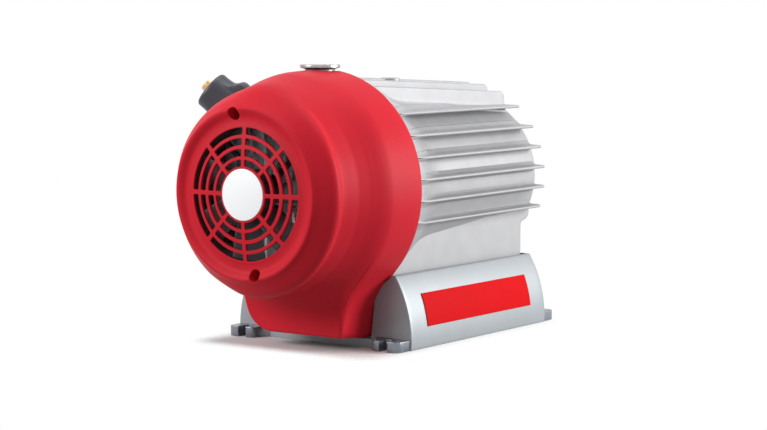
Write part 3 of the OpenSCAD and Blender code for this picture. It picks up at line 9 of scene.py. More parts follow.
import bmesh
import bpy
import numpy as np
from bpy.props import FloatProperty, FloatVectorProperty, PointerProperty
from bpy.types import Operator, Panel, PropertyGroup
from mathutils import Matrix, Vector

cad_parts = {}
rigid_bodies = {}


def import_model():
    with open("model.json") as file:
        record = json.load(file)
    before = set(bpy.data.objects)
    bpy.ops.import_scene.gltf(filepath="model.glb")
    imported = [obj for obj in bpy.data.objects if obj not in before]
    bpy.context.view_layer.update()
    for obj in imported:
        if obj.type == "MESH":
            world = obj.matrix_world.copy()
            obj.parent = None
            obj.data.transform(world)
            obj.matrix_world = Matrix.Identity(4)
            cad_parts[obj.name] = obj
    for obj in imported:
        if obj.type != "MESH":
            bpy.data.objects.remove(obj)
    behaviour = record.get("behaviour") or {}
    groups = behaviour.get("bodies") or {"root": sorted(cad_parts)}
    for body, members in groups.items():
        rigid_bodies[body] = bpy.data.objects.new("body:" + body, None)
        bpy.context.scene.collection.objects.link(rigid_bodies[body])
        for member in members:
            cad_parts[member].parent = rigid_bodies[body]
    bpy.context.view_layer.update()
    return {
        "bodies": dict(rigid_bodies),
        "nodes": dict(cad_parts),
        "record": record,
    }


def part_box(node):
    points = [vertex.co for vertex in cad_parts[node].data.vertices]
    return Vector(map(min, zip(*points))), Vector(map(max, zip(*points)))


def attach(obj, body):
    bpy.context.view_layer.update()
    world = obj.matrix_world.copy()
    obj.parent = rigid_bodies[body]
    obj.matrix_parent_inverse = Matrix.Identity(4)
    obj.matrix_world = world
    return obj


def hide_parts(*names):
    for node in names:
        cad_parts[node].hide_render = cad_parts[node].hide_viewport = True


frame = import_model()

bl_info = {
    "name": "Dry scroll pump looks",
    "version": (1, 0, 0),
    "blender": (4, 5, 0),
    "location": "3D View > Sidebar > Pump",
    "description": "Builds the hood, housing, base and fittings of a dry scroll pump on its frame",
    "category": "Object",
}

MM = 0.001
WELD = 0.004
AXIS_Z = 155.3
FRONT_Y = -255.0
COLUMNS = 240
STEP_DEG = 360 / COLUMNS
TOP_DEG = 90.0
INLET_D, EXHAUST_D, PLUG_D = 122.5, 172.0, 243.0

# Hood: its line as shares of the radius and depth, and the ledge behind its lip as d and height.
HOOD_R, HOOD_DEPTH, HOOD_WALL = 116.2, 131.0, 2.8
HOOD_LINE = np.array([
    [0, 0.0031], [0.2195, 0.0031], [0.387, 0.0122], [0.547, 0.0298], [0.598, 0.0374],
    [0.637, 0.0351], [0.6627, 0.0198], [0.684, 0.0092], [0.7, 0.0062], [0.7145, 0.0095],
    [0.7255, 0.0229], [0.7573, 0.058], [0.8003, 0.1008], [0.8434, 0.145], [0.8778, 0.1947],
    [0.9002, 0.2595], [0.92, 0.3504], [0.9346, 0.4046], [0.9535, 0.4733], [0.9673, 0.5153],
    [0.9811, 0.6107], [0.9923, 0.7634], [1, 0.9313], [1, 1]])
LEDGE = np.array([
    [4.0, 0.0], [7.0, -1.4], [10.0, -2.9], [14.0, -3.9], [17.0, -3.3], [20.0, -1.6], [23.2, 1.1],
    [26.2, 5.1], [30.0, 7.7], [36.0, 8.1], [44.0, 7.8], [50.0, 7.8], [56.0, 6.9], [62.0, 6.0],
    [67.5, 4.9], [74.0, 2.8], [80.0, 1.0], [86.0, 0.0]])
FACE_END, SHOULDER_START = 90.0, 82.9
WELL_R, WELL_DEGS = 77.2, (99.0, 279.0)

# Slots in the hood's rear edge: the middle's angle and d, the radius, the half angle of the block
# of skin that each is cut from, and the row that its mouth starts at.
NOTCHES = ((TOP_DEG, INLET_D, 17.5, 12, 5), (142.7, 111.2, 15.0, 10.5, 2))

# Grille: radii of the bars' middles and of each ring of slots.
HUB_R, GRILLE_R, SECTORS = 25.2, 66.0, 8
HALF_SECTOR = 180 / SECTORS
BARS = (HUB_R, 34.75, 45.0, 55.05, GRILLE_R)
SLOT_IN = (26.7, 36.3, 46.8, 56.7)
SLOT_OUT = (33.2, 43.2, 53.4, 63.6)

# Skirt: its front and its underside's end as d, its lower edge and its sides' lean.
SKIRT_D, SKIRT_UNDER_D, SKIRT_LOW, SKIRT_HALF, SKIRT_LEAN = 78.0, 84.5, 13.5, 56.0, 0.12

# Drum: its line as shares of the radius and of the length, its bore, its foot and its fins.
DRUM_R, DRUM_FRONT, DRUM_BACK, REAR_R = 107.5, 97.0, 396.0, 82.5
HOUSING_LINE = np.array([
    [0.985, 0], [0.985, 0.03], [0.992, 0.05], [1, 0.1], [0.998, 0.15], [0.975, 0.19],
    [0.93, 0.23], [0.88, 0.275], [0.852, 0.33], [0.842, 0.42]])
BORE_R, FOOT_HALF = 77.0, 77.0
FIN_START, FIN_PITCH, FIN_LOW_Z = 126.0, 21.2, 122.4

# Base: the heights of its top and deck, the round flank's centre, its ends as d, and the lugs.
BASE_TOP, DECK_Z, UNDER_DECK_Z, TOP_X = 72.0, 69.0, 61.0, 88.0
FLANK_R, FLANK_Z = 121.3, 6.6
FLANK_X = TOP_X - np.sqrt(FLANK_R ** 2 - (BASE_TOP - FLANK_Z) ** 2)
BASE_WALL, BASE_START, BASE_END, RECESS_D = 5.0, 126.0, 378.0, 133.0
LUG_X, LUG_Y, LUG_H = 87.5, 139.0, 10.5

# Ballast valve: the ends of its knob along its own axis, from its seat.
KNOB_START, KNOB_END = 19.2, 53.4


# ---------------------------------------------------------------- shape tools

def cut_corners(p, times):
    """Rounds an open line: each time, each inner corner gives way to the points a quarter and
    three quarters along its two sides."""
    for _ in range(times):
        a, b = p[:-1], p[1:]
        q = np.stack([a * 0.75 + b * 0.25, a * 0.25 + b * 0.75], 1).reshape(-1, p.shape[1])
        p = np.concatenate([p[:1], q, p[-1:]])
    return p


def round_angles(count):
    """Even angles of one full turn."""
    return np.arange(count) * 2 * np.pi / count


def arc(start, end, count):
    """Angles in radians from one number of degrees to another."""
    return np.radians(np.linspace(start, end, count))


def turned(r, angle, h):
    """x = r cos(angle), y = r sin(angle), z = h."""
    r, angle, h = np.broadcast_arrays(r, angle, h)
    return np.stack([r * np.cos(angle), r * np.sin(angle), h], -1)


def polar(r, angle, d):
    """Around the pump's axis: X = r cos(angle), Z = axis + r sin(angle), Y = front + d."""
    x, z, y = np.moveaxis(turned(r, angle, d), -1, 0)
    return np.stack([x, FRONT_Y + y, AXIS_Z + z], -1)


def quads(n, m, wrap_n=False, wrap_m=False):
    """Faces of a grid of n by m points, joined end to start along a wrapped side."""
    i = np.arange(n if wrap_n else n - 1)
    j = np.arange(m if wrap_m else m - 1)
    a, b = np.meshgrid(i, j, indexing="ij")
    c, e = (a + 1) % n, (b + 1) % m
    return np.stack([a * m + b, c * m + b, c * m + e, a * m + e], -1).reshape(-1, 4)


class Surface:
    """Collects grids of points in millimetres and makes them one mesh."""

    def __init__(self):
        self.points, self.faces, self.count = [], [], 0

    def grid(self, p, wrap_n=False, wrap_m=False, keep=None):
        p = np.asarray(p, float)
        f = quads(p.shape[0], p.shape[1], wrap_n, wrap_m)
        if keep is not None:
            f = f[keep.reshape(-1)]
        self.points.append(p.reshape(-1, 3))
        self.faces.extend((f + self.count).tolist())
        self.count += p.shape[0] * p.shape[1]
        return self

    def polygon(self, p):
        p = np.asarray(p, float)
        self.points.append(p)
        self.faces.append(list(range(self.count, self.count + len(p))))
        self.count += len(p)
        return self

    def make(self, name, body, slot, material, replaces=(), sharp=32.0):
        """Welds the grids, turns the faces outwards and puts the piece on its body."""
        mesh = bpy.data.meshes.new(name)
        mesh.from_pydata(np.concatenate(self.points) * MM, [], self.faces)
        bm = bmesh.new()
        bm.from_mesh(mesh)
        bmesh.ops.remove_doubles(bm, verts=bm.verts, dist=WELD * MM)
        bmesh.ops.dissolve_degenerate(bm, edges=bm.edges, dist=1e-7)
        bmesh.ops.recalc_face_normals(bm, faces=bm.faces)
        for f in bm.faces:
            f.smooth = True
        bm.to_mesh(mesh)
        bm.free()
        mesh.set_sharp_from_angle(angle=np.radians(sharp))
        mesh.materials.append(material)
        piece = bpy.data.objects.new(name, mesh)
        bpy.context.scene.collection.objects.link(piece)
        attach(piece, body)
        if replaces:
            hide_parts(*replaces)
        return piece


def place(p, centre, axes=None):
    """Points carried into place by three axis directions and a centre."""
    return (p if axes is None else p @ axes) + np.asarray(centre, float)


def revolve(line, count, centre, axes=None):
    """A line of (radius, height) turned about an axis, carried into place."""
    r, h = np.asarray(line, float).T[:, :, None]
    return place(turned(r, round_angles(count), h), centre, axes)


def soft_line(points, radii, steps=4):
    """A line with a round of the given radius at each inner corner: the arc touches both sides
    at radius / tan(half the corner's angle) from the corner, or at nearly half of a short side."""
    p = np.asarray(points, float)
    out = [p[:1]]
    for k in range(1, len(p) - 1):
        u, v = p[k - 1] - p[k], p[k + 1] - p[k]
        lu, lv = np.linalg.norm(u), np.linalg.norm(v)
        u, v = u / lu, v / lv
        c = np.clip(u @ v, -1, 1)
        if radii[k] <= 0 or c < -0.9999:
            out.append(p[k:k + 1])
            continue
        half = np.arccos(c) / 2
        cut = min(radii[k] / np.tan(half), 0.48 * lu, 0.48 * lv)
        rad = cut * np.tan(half)
        centre = p[k] + (u + v) / np.linalg.norm(u + v) * rad / np.sin(half)
        a, b = p[k] + u * cut - centre, p[k] + v * cut - centre
        ang = np.arccos(np.clip(a @ b / rad ** 2, -1, 1))
        t = np.linspace(0, 1, steps + 1)[:, None]
        mix = np.sin((1 - t) * ang) * a + np.sin(t * ang) * b
        out.append(centre + mix / max(np.sin(ang), 1e-9))
    out.append(p[-1:])
    return np.concatenate(out)


def star_patch(edge, target, steps=3):
    """Loops of plane points running from an edge to a target line, as x and y."""
    t = np.linspace(0, 1, steps + 1)[:, None, None]
    return np.moveaxis(edge * (1 - t) + target * t, -1, 0)


def block_columns(centre, half):
    """First and last column of a turned skin's block, from its middle and half width in degrees."""
    return round((centre - half) / STEP_DEG), round((centre + half) / STEP_DEG)


def block_edge(rows, cols, plane):
    """Loop of plane points round a block of a turned skin, from its rows and column angles."""
    return np.concatenate([plane(rows[:1], cols)[:-1], plane(rows, cols[-1:])[:-1],
                           plane(rows[-1:], cols)[:0:-1], plane(rows, cols[:1])[:0:-1]])


def smooth_step(a, b, x):
    """0 below a, 1 above b and t t (3 - 2 t) between them."""
    t = np.clip((x - a) / (b - a), 0, 1)
    return t * t * (3 - 2 * t)


def srgb(r, g, b):
    """A colour as seen on screen, 0 to 255, turned into the linear values that a shader takes."""
    c = np.array([r, g, b]) / 255.0
    c = np.where(c <= 0.04045, c / 12.92, ((c + 0.055) / 1.055) ** 2.4)
    return (float(c[0]), float(c[1]), float(c[2]), 1.0)


# ---------------------------------------------------------------- finishes

def node(tree, kind, inputs=None, **values):
    """A shader node with the values of its sockets and its own settings."""
    n = tree.nodes.new(kind)
    for key, value in values.items():
        setattr(n, key, value)
    for key, value in (inputs or {}).items():
        n.inputs[key].default_value = value
    return n


def link(tree, *pairs):
    """Joins each pair of an output and an input."""
    for source, target in pairs:
        tree.links.new(source, target)


def finish(name, light, dark, rough=0.45, rough_spread=0.06, metal=0.0, grain=0.0006, bump=0.05,
           patch=0.03, specular=0.5, streak=None):
    """A finish from two noises on Object coordinates: a broad one mixes two near colours, and a
    fine one roughens and gives the bump of the casting, paint or machining."""
    mat = bpy.data.materials.get(name)
    if mat:
        return mat
    mat = bpy.data.materials.new(name)
    mat.use_nodes = True
    t = mat.node_tree
    t.nodes.clear()
    out = node(t, "ShaderNodeOutputMaterial")
    shader = node(t, "ShaderNodeBsdfPrincipled",
                  {"Metallic": metal, "Specular IOR Level": specular})
    source = node(t, "ShaderNodeTexCoord").outputs["Object"]
    if streak:
        mapping = node(t, "ShaderNodeMapping", {"Scale": streak})
        link(t, (source, mapping.inputs["Vector"]))
        source = mapping.outputs[0]
    broad = node(t, "ShaderNodeTexNoise", {"Scale": 1.0 / patch, "Detail": 4.0})
    fine = node(t, "ShaderNodeTexNoise", {"Scale": 0.4 / grain, "Detail": 3.0})
    ramp = node(t, "ShaderNodeValToRGB")
    for element, position, colour in zip(ramp.color_ramp.elements, (0.32, 0.68), (dark, light)):
        element.position, element.color = position, colour
    spread = node(t, "ShaderNodeMapRange", {"To Min": rough - rough_spread,
                                            "To Max": rough + rough_spread})
    relief = node(t, "ShaderNodeBump", {"Strength": bump, "Distance": grain * 0.5})
    link(t, (source, broad.inputs["Vector"]), (source, fine.inputs["Vector"]),
         (broad.outputs["Fac"], ramp.inputs["Fac"]),
         (ramp.outputs["Color"], shader.inputs["Base Color"]),
         (fine.outputs["Fac"], spread.inputs["Value"]),
         (spread.outputs["Result"], shader.inputs["Roughness"]),
         (fine.outputs["Fac"], relief.inputs["Height"]),
         (relief.outputs["Normal"], shader.inputs["Normal"]), (shader.outputs[0], out.inputs[0]))
    return mat


def tinted(name, colour, share, **values):
    """A finish in a colour of the settings, whose darker colour is a share of it."""
    return finish(name, (*colour, 1.0), (*(c * share for c in colour), 1.0), **values)


def cast_metal():
    """The housing's finish, which the plug shares."""
    return tinted("cast_metal", bpy.context.scene.pump_housing.metal, 0.93, rough=0.5, metal=0.25,
                  grain=0.0007, bump=0.12, patch=0.02)


# Fixed finishes: the light and dark colour as seen on screen, and what differs from the defaults.
FINISHES = {
    "machined_metal": ((172, 168, 170), (150, 146, 148), dict(
        rough=0.28, rough_spread=0.05, metal=0.9, grain=0.0004, bump=0.03, patch=0.01)),
    "lug_metal": ((138, 142, 149), (112, 116, 124), dict(rough=0.3, metal=0.85, grain=0.0005)),
    "valve_plastic": ((50, 53, 62), (42, 45, 53), dict(rough=0.42)),
    "filter_brass": ((172, 124, 98), (140, 94, 74), dict(rough=0.28, metal=0.85, grain=0.0005)),
    "hub_white": ((255, 255, 255), (253, 253, 254), dict(rough=0.5, bump=0.01)),
    "screw_steel": ((92, 90, 92), (70, 68, 72), dict(rough=0.35, metal=0.8)),
    "bright_steel": ((205, 205, 208), (180, 180, 184), dict(rough=0.28, metal=0.9)),
    "fan_black": ((24, 21, 24), (16, 14, 17), dict(rough=0.45)),
    "bearing_steel": ((205, 206, 210), (180, 181, 186), dict(rough=0.2, metal=1.0)),
    "scroll_aluminium": ((190, 191, 194), (170, 171, 175), dict(
        rough=0.35, metal=0.7, grain=0.0008)),
    "seal_white": ((232, 230, 224), (216, 213, 205), dict(rough=0.6)),
    "ring_rubber": ((30, 30, 30), (22, 22, 22), dict(rough=0.6)),
    "shaft_steel": ((190, 192, 196), (165, 167, 172), dict(rough=0.22, metal=1.0)),
    "weight_iron": ((112, 108, 104), (88, 84, 82), dict(rough=0.5, metal=0.6)),
    "core_steel": ((120, 122, 128), (98, 100, 106), dict(
        rough=0.4, metal=0.8, streak=(1.0, 12.0, 1.0))),
    "winding_copper": ((190, 104, 58), (150, 74, 38), dict(
        rough=0.35, metal=0.8, grain=0.0012, bump=0.3)),
    "board_green": ((34, 104, 62), (24, 84, 48), dict(rough=0.4)),
    "cover_grey": ((92, 95, 101), (82, 85, 91), dict(rough=0.5, bump=0.12)),
    "display_dark": ((26, 34, 38), (18, 24, 30), dict(rough=0.15, bump=0.0)),
    "key_grey": ((176, 178, 182), (160, 162, 167), dict(rough=0.55, bump=0.1)),
    "socket_black": ((30, 30, 32), (22, 22, 24), dict(rough=0.5, bump=0.08)),
    "rocker_red": ((200, 34, 38), (180, 26, 30), dict(rough=0.4)),
}
SLOT_FINISHES = {"valve_black": "valve_plastic"}


def fixed(name):
    """A finish of the table above."""
    light, dark, values = FINISHES[name]
    return finish(name, srgb(*light), srgb(*dark), **values)


def slot_of(name):
    """The material slot that the record gives a node."""
    return next(p["material_slot"] for p in frame["record"]["subparts"] if p["node"] == name)


# ---------------------------------------------------------------- hood

def hood_line():
    """The hood's outer line as radius and d, with its corners cut."""
    return cut_corners(HOOD_LINE, 2) * [HOOD_R, HOOD_DEPTH]


def hood_face(r):
    """Distance behind the hub disc of the hood's face at a radius, out past its lip."""
    line = hood_line()
    line = line[:np.argmax(line[:, 0] > FACE_END)]
    return np.interp(r, line[:, 0], line[:, 1])


def flat_side(angle, d):
    """How far the hood's shoulder stands inside its turned line: two flats, one beside the valve
    and one above the skirt's left corner, and the ledge that steps in behind the lip on the right
    and below. Each is a bell or a soft step over the angle that fades with d."""
    valve_deg, corner_deg, side_from_deg = 108, 250, 210
    a = np.degrees(angle) % 360
    width = np.where(a < valve_deg, 12.0, 36.0)
    valve = 3.3 * np.exp(-((a - valve_deg) / width) ** 2)
    corner = 2.5 * np.exp(-((a - corner_deg) / 11.0) ** 2)
    past = (a - side_from_deg) % 360
    side = smooth_step(15, 60, past) * (1 - smooth_step(175, 225, past))
    ledge = np.interp(d, LEDGE[:, 0], LEDGE[:, 1]) * side
    return -(valve + corner) * smooth_step(8, 24, d) * (1 - smooth_step(60, 92, d)) - ledge


def hood_r(d, angle):
    """Outer radius of the hood's shoulder at a distance and an angle."""
    line = hood_line()
    line = line[np.argmax(line[:, 0] > SHOULDER_START):]
    return np.interp(d, line[:, 1], line[:, 0]) + flat_side(angle, d)


def slot_edge(a, b, ring, sector, grow):
    """One grille slot's rounded outline, grown by a distance. a and b run from -1 to 1 along
    and across the slot; near a corner the point moves onto the corner's circle."""
    corner_r, spoke_in, spoke_out, spoke_out_r = 1.3, 3.4, 4.4, 64.6
    mid = (SLOT_IN[ring] + SLOT_OUT[ring]) / 2
    high = (SLOT_OUT[ring] - SLOT_IN[ring]) / 2 + grow
    corner = corner_r + grow
    y = b * high
    r = mid + y
    half_spoke = (spoke_in + (spoke_out - spoke_in) * r / spoke_out_r) / 2 - grow
    long = (np.radians(HALF_SECTOR) - np.arcsin(half_spoke / r)) * r
    x = a * long
    qx, qy = np.abs(x) - (long - corner), np.abs(y) - (high - corner)
    near = (qx > 0) & (qy > 0)
    size = np.where(near, np.hypot(qx, qy), 1.0)
    x = np.where(near, np.sign(x) * (long - corner + corner * qx / size), x)
    y = np.where(near, np.sign(y) * (high - corner + corner * qy / size), y)
    return mid + y, np.radians(HALF_SECTOR * (1 + 2 * sector)) + x / r


def grille_cell(ring, sector):
    """Closed loops from the middle of the bars round a slot, over their rounded front edge,
    through the wall and back to the middle of the bars behind."""
    soft, soft_behind, side_steps = 0.35, 0.3, 8
    lo, hi = BARS[ring], BARS[ring + 1]
    n, k = COLUMNS // SECTORS, side_steps
    t, s = np.arange(n) / n, np.arange(k) / k
    a = np.concatenate([t * 2 - 1, np.ones(k), 1 - t * 2, -np.ones(k)])
    b = np.concatenate([-np.ones(n), s * 2 - 1, np.ones(n), 1 - s * 2])
    edge_r = (lo + hi) / 2 + b * (hi - lo) / 2
    edge_a = np.radians(HALF_SECTOR * (1 + a + 2 * sector))
    near = a * (1.22 - 0.22 * a * a)
    r, ang = slot_edge(near, b, ring, sector, soft)
    loops = [(edge_r, edge_a, 0.0), ((edge_r + r) / 2, (edge_a + ang) / 2, 0.0)]
    for q in arc(0, 90, 5):
        r, ang = slot_edge(near, b, ring, sector, soft * (1 - np.sin(q)))
        loops.append((r, ang, soft * (1 - np.cos(q))))
    loops += [(r, ang, HOOD_WALL - soft_behind),
              (*slot_edge(near, b, ring, sector, soft_behind), HOOD_WALL),
              (edge_r, edge_a, HOOD_WALL)]
    return np.stack([polar(r, ang, hood_face(r) + down) for r, ang, down in loops])


def hood_rows():
    """The hood's outer line from the grille's rim to the rear edge, the round of that edge, and
    the inner line back: the same line moved inward by the wall, and backward too near the face.
    The tail's rows meet the middles and mouths of the slots in the rear edge."""
    tail_d = np.array([85, 88, 91, 93.5, 96.2, 99, 102, 105, 108, 111.2, 114, 117, 120, INLET_D,
                       125, 127.5, 130.0])
    line = hood_line()
    rim_d = float(hood_face(GRILLE_R))
    rise = line[(line[:, 0] > GRILLE_R + 0.6) & (line[:, 1] < tail_d[0] - 1.0)]
    back = line[line[:, 1] > 75]
    tail = np.stack([np.interp(tail_d, back[:, 1], back[:, 0]), tail_d], 1)
    front = np.concatenate([[[GRILLE_R, rim_d]], rise])
    behind = front - [HOOD_WALL, -HOOD_WALL]
    behind = behind[(behind[:, 0] > GRILLE_R + 0.4) & (behind[:, 1] < tail_d[0] - 0.4)]
    outer = np.concatenate([front, tail])
    inner = np.concatenate([[[GRILLE_R, rim_d + HOOD_WALL]], behind, tail - [HOOD_WALL, 0]])
    rim = np.array([[-0.15, -0.4], [-0.5, -0.1], [-1.0, 0.0], [-1.8, 0.0], [-2.5, -0.3]])
    return outer, rim + [HOOD_R, HOOD_DEPTH], inner, len(tail_d)


def notch(surface, rows, tails, centre_deg, centre_d, radius, cols, mouth_row):
    """An open slot in the hood's rear edge: a half round and two straight sides. Outer and
    inner skins are lifted onto their own lines, and a wall joins them along the slot."""
    outer, rim, inner = rows
    a0 = np.radians(centre_deg)
    tail_o, tail_i = outer[-tails:], inner[-tails:]
    middle = np.argmin(np.abs(tail_o[:, 1] - centre_d))
    ang = np.radians(np.arange(cols[0], cols[1] + 1) * STEP_DEG) - a0
    sides = ((-radius, ang[0]), (radius, ang[-1]))

    def lift(tail, x, d):
        r = np.interp(d, tail[:, 1], tail[:, 0])
        return polar(r, a0 + np.arctan2(x, np.sqrt(np.maximum(r * r - x * x, 0))), d)

    walls = []
    for tail in (tail_o, tail_i):
        left, right = (np.stack([t[:, 0] * np.sin(a), t[:, 1]], 1)
                       for t, a in ((tail[middle:mouth_row:-1], ang[0]),
                                    (tail[mouth_row + 1:middle + 1], ang[-1])))
        front = np.stack([tail[mouth_row, 0] * np.sin(ang), 0 * ang + tail[mouth_row, 1]], 1)
        edge = np.concatenate([left, front, right])
        way = np.unwrap(np.arctan2(edge[:, 1] - centre_d, edge[:, 0]))
        way = np.interp(way, np.sort(way[[0, -1]]), [-np.pi, 0])
        target = np.stack([radius * np.cos(way), centre_d + radius * np.sin(way)], 1)
        surface.grid(lift(tail, *star_patch(edge, target)))
        strips = []
        for side_x, a in sides:
            r, d = tail[middle:, :1], tail[middle:, 1:]
            t = np.array([[0, 0.5, 1]])
            strip = lift(tail, r * np.sin(a) * (1 - t) + side_x * t, d + 0 * t)
            surface.grid(strip)
            strips.append(strip[:, -1])
        walls.append(np.concatenate([strips[0][::-1], lift(tail, *target[1:-1].T), strips[1]]))
    surface.grid(np.stack(walls))
    r, d = np.concatenate([tail_o[-1:], rim, tail_i[-1:]]).T
    for side_x, a in sides:
        ends = [polar(r, a0 + np.arcsin(x / r), d) for x in (r * np.sin(a), side_x)]
        surface.grid(np.stack(ends))
        surface.polygon(ends[1])


def screw_well(surface, skin, centre_deg, cols):
    """A screw's well in the lip: the skin round it, its soft edge, its wall down to the screw's
    hole, and the closed boss around it."""
    hole_r = bpy.context.scene.pump_hood.access_radius / MM
    soft, screw_r, boss_r, floor_d, boss_d = 0.7, 3.4, hole_r + 1.2, 24.0, 26.4
    a0 = np.radians(centre_deg)

    def plane(rows, a):
        return np.stack([rows[:, 0] * np.sin(a), rows[:, 0] * np.cos(a) - WELL_R], -1)

    def lift(x, y, down=0.0):
        r, a = np.hypot(x, y + WELL_R), a0 + np.arctan2(x, y + WELL_R)
        return polar(r + flat_side(a, hood_face(r)), a, hood_face(r) + down)

    edge = block_edge(skin, np.radians(np.arange(cols[0], cols[1] + 1) * STEP_DEG) - a0, plane)
    way = np.arctan2(edge[:, 1], edge[:, 0])
    circle = np.stack([np.cos(way), np.sin(way)], 1)
    surface.grid(lift(*star_patch(edge, circle * (hole_r + soft))), wrap_m=True)
    loops = [lift(*(circle * (hole_r + soft * (1 - np.sin(q)))).T, soft * (1 - np.cos(q)))
             for q in arc(0, 90, 4)]
    for r, d in ((hole_r, floor_d), (screw_r, floor_d), (screw_r, boss_d), (boss_r, boss_d)):
        loop = lift(*(circle * r).T)
        loop[:, 1] = FRONT_Y + d
        loops.append(loop)
    loops.append(lift(*(circle * boss_r).T, HOOD_WALL + 0.2))
    surface.grid(np.stack(loops), wrap_m=True)


def hood_shell():
    """The hood's skin: rows of its line turned about the axis, a grille of slots inside its rim,
    two screw wells in the lip and two open slots in the rear edge."""
    s = Surface()
    outer, rim, inner, tails = hood_rows()
    rows = np.concatenate([outer, rim, inner[::-1]])
    angle = round_angles(COLUMNS)
    keep = np.ones((len(rows) - 1, COLUMNS), bool)
    block_r, boss_r, boss_d = (69.0, 87.0), (70.5, 84.5), 20.0
    first, last = (np.argmax(outer[:, 0] > r) for r in block_r)
    first_in = len(outer) + len(rim)
    r_in, d_in = rows[first_in:].T
    boss = np.where((r_in < boss_r[1]) & (r_in > boss_r[0]) & (d_in < boss_d))[0] + first_in
    for centre in WELL_DEGS:
        cols, cols_in = block_columns(centre, 9), block_columns(centre, 4.5)
        keep[first:last, cols[0]:cols[1]] = False
        keep[boss[0]:boss[-1], cols_in[0]:cols_in[1]] = False
        screw_well(s, outer[first:last + 1], centre, cols)
    for centre, middle_d, radius, half, mouth in NOTCHES:
        cols = block_columns(centre, half)
        keep[len(outer) - tails + mouth:first_in + tails - 1 - mouth, cols[0]:cols[1]] = False
        notch(s, (outer, rim, inner), tails, centre, middle_d, radius, cols, mouth)
    r, d = rows[:, :1], rows[:, 1:]
    s.grid(polar(r + flat_side(angle, d), angle, d), wrap_m=True, keep=keep)
    for ring in range(len(SLOT_IN)):
        for sector in range(SECTORS):
            s.grid(grille_cell(ring, sector), wrap_m=True)
    hub_d = hood_face(HUB_R)
    recess = np.array([[25.2, 0.0], [25.0, 0.02], [24.9, 0.25], [24.85, 1.2], [0.0, 1.2]])
    behind = np.array([[HUB_R, HOOD_WALL], [0.0, HOOD_WALL]])
    for line in (recess, behind):
        s.grid(polar(line[:, :1], angle, line[:, 1:] + hub_d), wrap_m=True)
    return s


def skirt_half(z, clear=0.0):
    """Half the skirt's width at a height."""
    return SKIRT_HALF + clear + SKIRT_LEAN * z


def skirt_path():
    """The skirt's outline from the front: down the left side, round a wide corner, along the
    lower edge, round a narrow corner and up the right side."""
    left, right, left_top, right_top = 34.0, 6.0, 80.0, 98.0
    z_l = np.linspace(left_top, SKIRT_LOW + left, 24)
    z_r = np.linspace(SKIRT_LOW + right, right_top, 48)
    x_l, x_r = left - skirt_half(z_l[-1]), skirt_half(z_r[0]) - right

    def corner(x, r, angles):
        return np.stack([x + r * np.cos(angles), SKIRT_LOW + r + r * np.sin(angles)], 1)
    return np.concatenate([
        np.stack([-skirt_half(z_l), z_l], 1)[:-1], corner(x_l, left, arc(180, 270, 28)),
        np.stack([np.linspace(x_l, x_r, 40), np.full(40, SKIRT_LOW)], 1)[1:-1],
        corner(x_r, right, arc(270, 360, 12)), np.stack([skirt_half(z_r), z_r], 1)[1:]])


